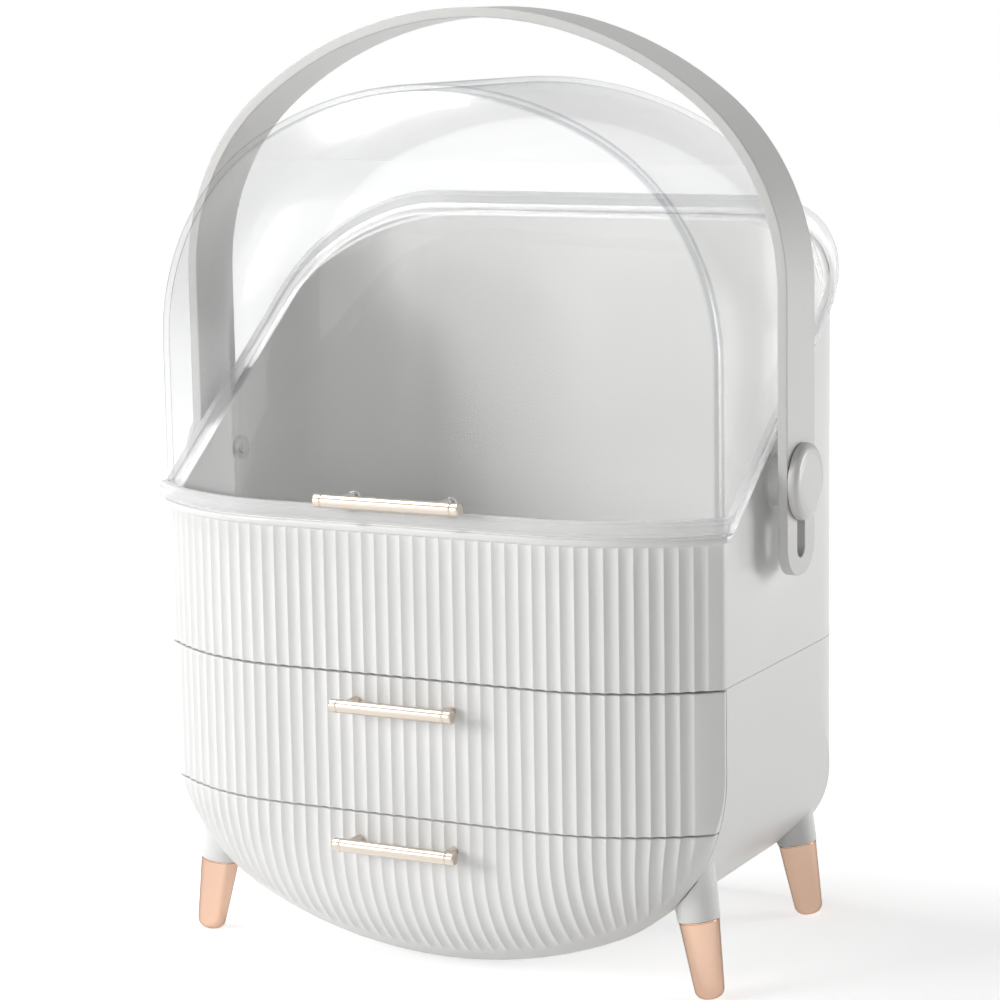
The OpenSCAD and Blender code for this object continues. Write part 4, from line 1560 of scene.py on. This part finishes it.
@dataclass(frozen=True)
class Studio:
    """White surroundings of the object: the world, the floor and the lamps.

    Attributes:
        fill: strength of the even light that the world gives.
        low: its level from straight below (0) to straight above (1).
        bands: levels of the soft bands that gloss shows, along Z and along X.
        size: half side of the floor in metres.
        paint: grey of the floor.
        glow: strength of the floor's white near the object and far from it.
        reach: distances in metres between which that strength rises.
        lamps: the soft boxes.
    """

    fill: float = 0.62
    low: Pairs = ((0.0, 1.0), (0.625, 1.0), (0.75, 0.0), (1.0, 0.0))
    bands: tuple[Pairs, Pairs] = (
        ((0.0, 0.85), (0.46, 0.8), (0.53, 0.6), (0.6, 0.75), (0.72, 1.0), (0.9, 1.0), (1.0, 0.7)),
        ((0.0, 1.0), (0.15, 0.75), (0.3, 0.55), (0.5, 0.8), (0.68, 0.7), (0.85, 0.8), (1.0, 1.0)),
    )
    size: float = 6.0
    paint: float = 0.8
    glow: tuple[float, float] = (0.62, 0.955)
    reach: tuple[float, float] = (0.35, 1.7)
    lamps: tuple[Lamp, ...] = (
        Lamp("left_box", (-1.45, -1.65, 0.8), 22.5),
        Lamp("right_box", (1.75, 1.45, 0.35), 23.0),
        Lamp("top_box", (-1.1, -0.2, 2.05), 30.0),
        Lamp("front_box", (0.1, -2.3, 0.6), 6.5),
    )

    def make(self) -> None:
        """Adds the lamps, the world and the floor."""
        for lamp in self.lamps:
            lamp.make()
        self.world()
        self.floor()

    @staticmethod
    def ramp(
        nodes: Nodes, value: bpy.types.NodeSocket, stops: Pairs, smooth: bool
    ) -> bpy.types.NodeSocket:
        """Levels along a value that runs from -1 to 1.

        Args:
            nodes: where to add the ramp.
            value: the value.
            stops: places from 0 to 1, each with its level.
            smooth: whether the levels ease into each other.
        Returns:
            The level as a colour socket.
        """
        span = nodes.add("MapRange", {"From Min": -1.0, "Value": value})
        node = nodes.add("ValToRGB", {"Fac": span.outputs["Result"]})
        node.color_ramp.interpolation = "EASE" if smooth else "LINEAR"
        while len(node.color_ramp.elements) < len(stops):
            node.color_ramp.elements.new(0.5)
        for stop, (at, level) in zip(node.color_ramp.elements, stops):
            stop.position = at
            stop.color = (level, level, level, 1)
        return node.outputs["Color"]

    def world(self) -> None:
        """White to the camera, an even dim light to diffuse rays, soft bands to glossy rays."""
        world = bpy.data.worlds.new("studio")
        world.use_nodes = True
        nodes = Nodes(world.node_tree)
        nodes.tree.nodes.clear()
        coord = nodes.add("TexCoord").outputs["Generated"]
        axes = nodes.add("SeparateXYZ", {"Vector": coord})
        along_z = self.ramp(nodes, axes.outputs["Z"], self.bands[0], True)
        along_x = self.ramp(nodes, axes.outputs["X"], self.bands[1], True)
        low = self.ramp(nodes, axes.outputs["Z"], self.low, False)
        bands = nodes.add("Math", {0: along_z, 1: along_x}, operation="MULTIPLY").outputs["Value"]
        seen, fill, shine = (
            nodes.add("Background", {"Color": color, "Strength": strength}).outputs["Background"]
            for color, strength in (((1, 1, 1, 1), 1.0), (low, self.fill), (bands, 1.0))
        )
        light = nodes.mix(fill, shine, nodes.rays("Is Glossy Ray"))
        shader = nodes.mix(light, seen, nodes.rays("Is Camera Ray", "Is Transmission Ray"))
        nodes.add("OutputWorld", {"Surface": shader})
        bpy.context.scene.world = world

    def floor(self) -> None:
        """A pale floor that keeps the object's shadow and fades into the white behind."""
        mesh = bpy.data.meshes.new("floor")
        s = self.size
        mesh.from_pydata([(-s, -s, 0), (s, -s, 0), (s, s, 0), (-s, s, 0)], [], [(0, 1, 2, 3)])
        floor = bpy.data.objects.new("floor", mesh)
        bpy.context.scene.collection.objects.link(floor)
        material, nodes = new_material("white floor")
        paint = nodes.fill(nodes.tree.nodes["Principled BSDF"], {
            "Base Color": (self.paint, self.paint, self.paint, 1), "Roughness": 0.9,
            "Specular IOR Level": 0.0,
        }).outputs["BSDF"]
        far = nodes.add("VectorMath", {0: nodes.place()}, operation="LENGTH").outputs["Value"]
        level = nodes.add("MapRange", {
            "Value": far, "From Min": self.reach[0], "From Max": self.reach[1],
            "To Min": self.glow[0], "To Max": self.glow[1],
        })
        glow = nodes.add("Emission", {"Color": (1, 1, 1, 1), "Strength": level.outputs["Result"]})
        lit = nodes.add("AddShader", {0: paint, 1: glow.outputs["Emission"]}).outputs["Shader"]
        rays = nodes.rays("Is Camera Ray", "Is Transmission Ray", "Is Glossy Ray")
        shader = nodes.mix(paint, lit, rays)
        nodes.fill(nodes.tree.nodes["Material Output"], {"Surface": shader})
        mesh.materials.append(material)


# ----------------------------------------------------------------- kept meshes


KEPT: dict[str, Palette] = {
    "casing": Palette.SHELL,
    "divider_shelf": Palette.INNER,
    "tray_screws": Palette.STEEL,
    "drawer_1_box": Palette.INNER,
    "drawer_1_front_screws": Palette.STEEL,
    "drawer_1_pull": Palette.PULL,
    "drawer_1_pull_screws": Palette.STEEL,
    "drawer_2_box": Palette.INNER,
    "drawer_2_front_screws": Palette.STEEL,
    "drawer_2_pull": Palette.PULL,
    "drawer_2_pull_screws": Palette.STEEL,
    "lid_bar": Palette.PULL,
    "lid_bar_screws": Palette.STEEL,
    "left_hinge_pin": Palette.STEEL,
    "right_hinge_pin": Palette.STEEL,
    "handle": Palette.HANDLE,
    "left_pivot_pin": Palette.STEEL,
    "right_pivot_pin": Palette.STEEL,
    "left_pivot_clip": Palette.STEEL,
    "right_pivot_clip": Palette.STEEL,
}


def dress(frame: dict, made: dict[Palette, bpy.types.Material]) -> None:
    """Gives each kept node its finish.

    Args:
        made: the material of each finish.
    """
    for node, kind in KEPT.items():
        mesh = frame["nodes"][node].data
        mesh.materials.clear()
        mesh.materials.append(made[kind])


def main() -> None:
    """Builds the whole picture."""
    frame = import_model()
    scene = bpy.context.scene
    scene.view_settings.view_transform = "Standard"
    made = {kind: kind.value.make() for kind in Palette}
    dress(frame, made)
    Tray().make(made[Palette.BODY])
    Front(1).make(made[Palette.BODY])
    Front(2).make(made[Palette.BODY])
    Cover().make()
    Foot().make(made[Palette.TIP])
    Knob().make(made[Palette.KNOB])
    Shot().make()
    Studio().make()


if __name__ == "__main__":
    main()
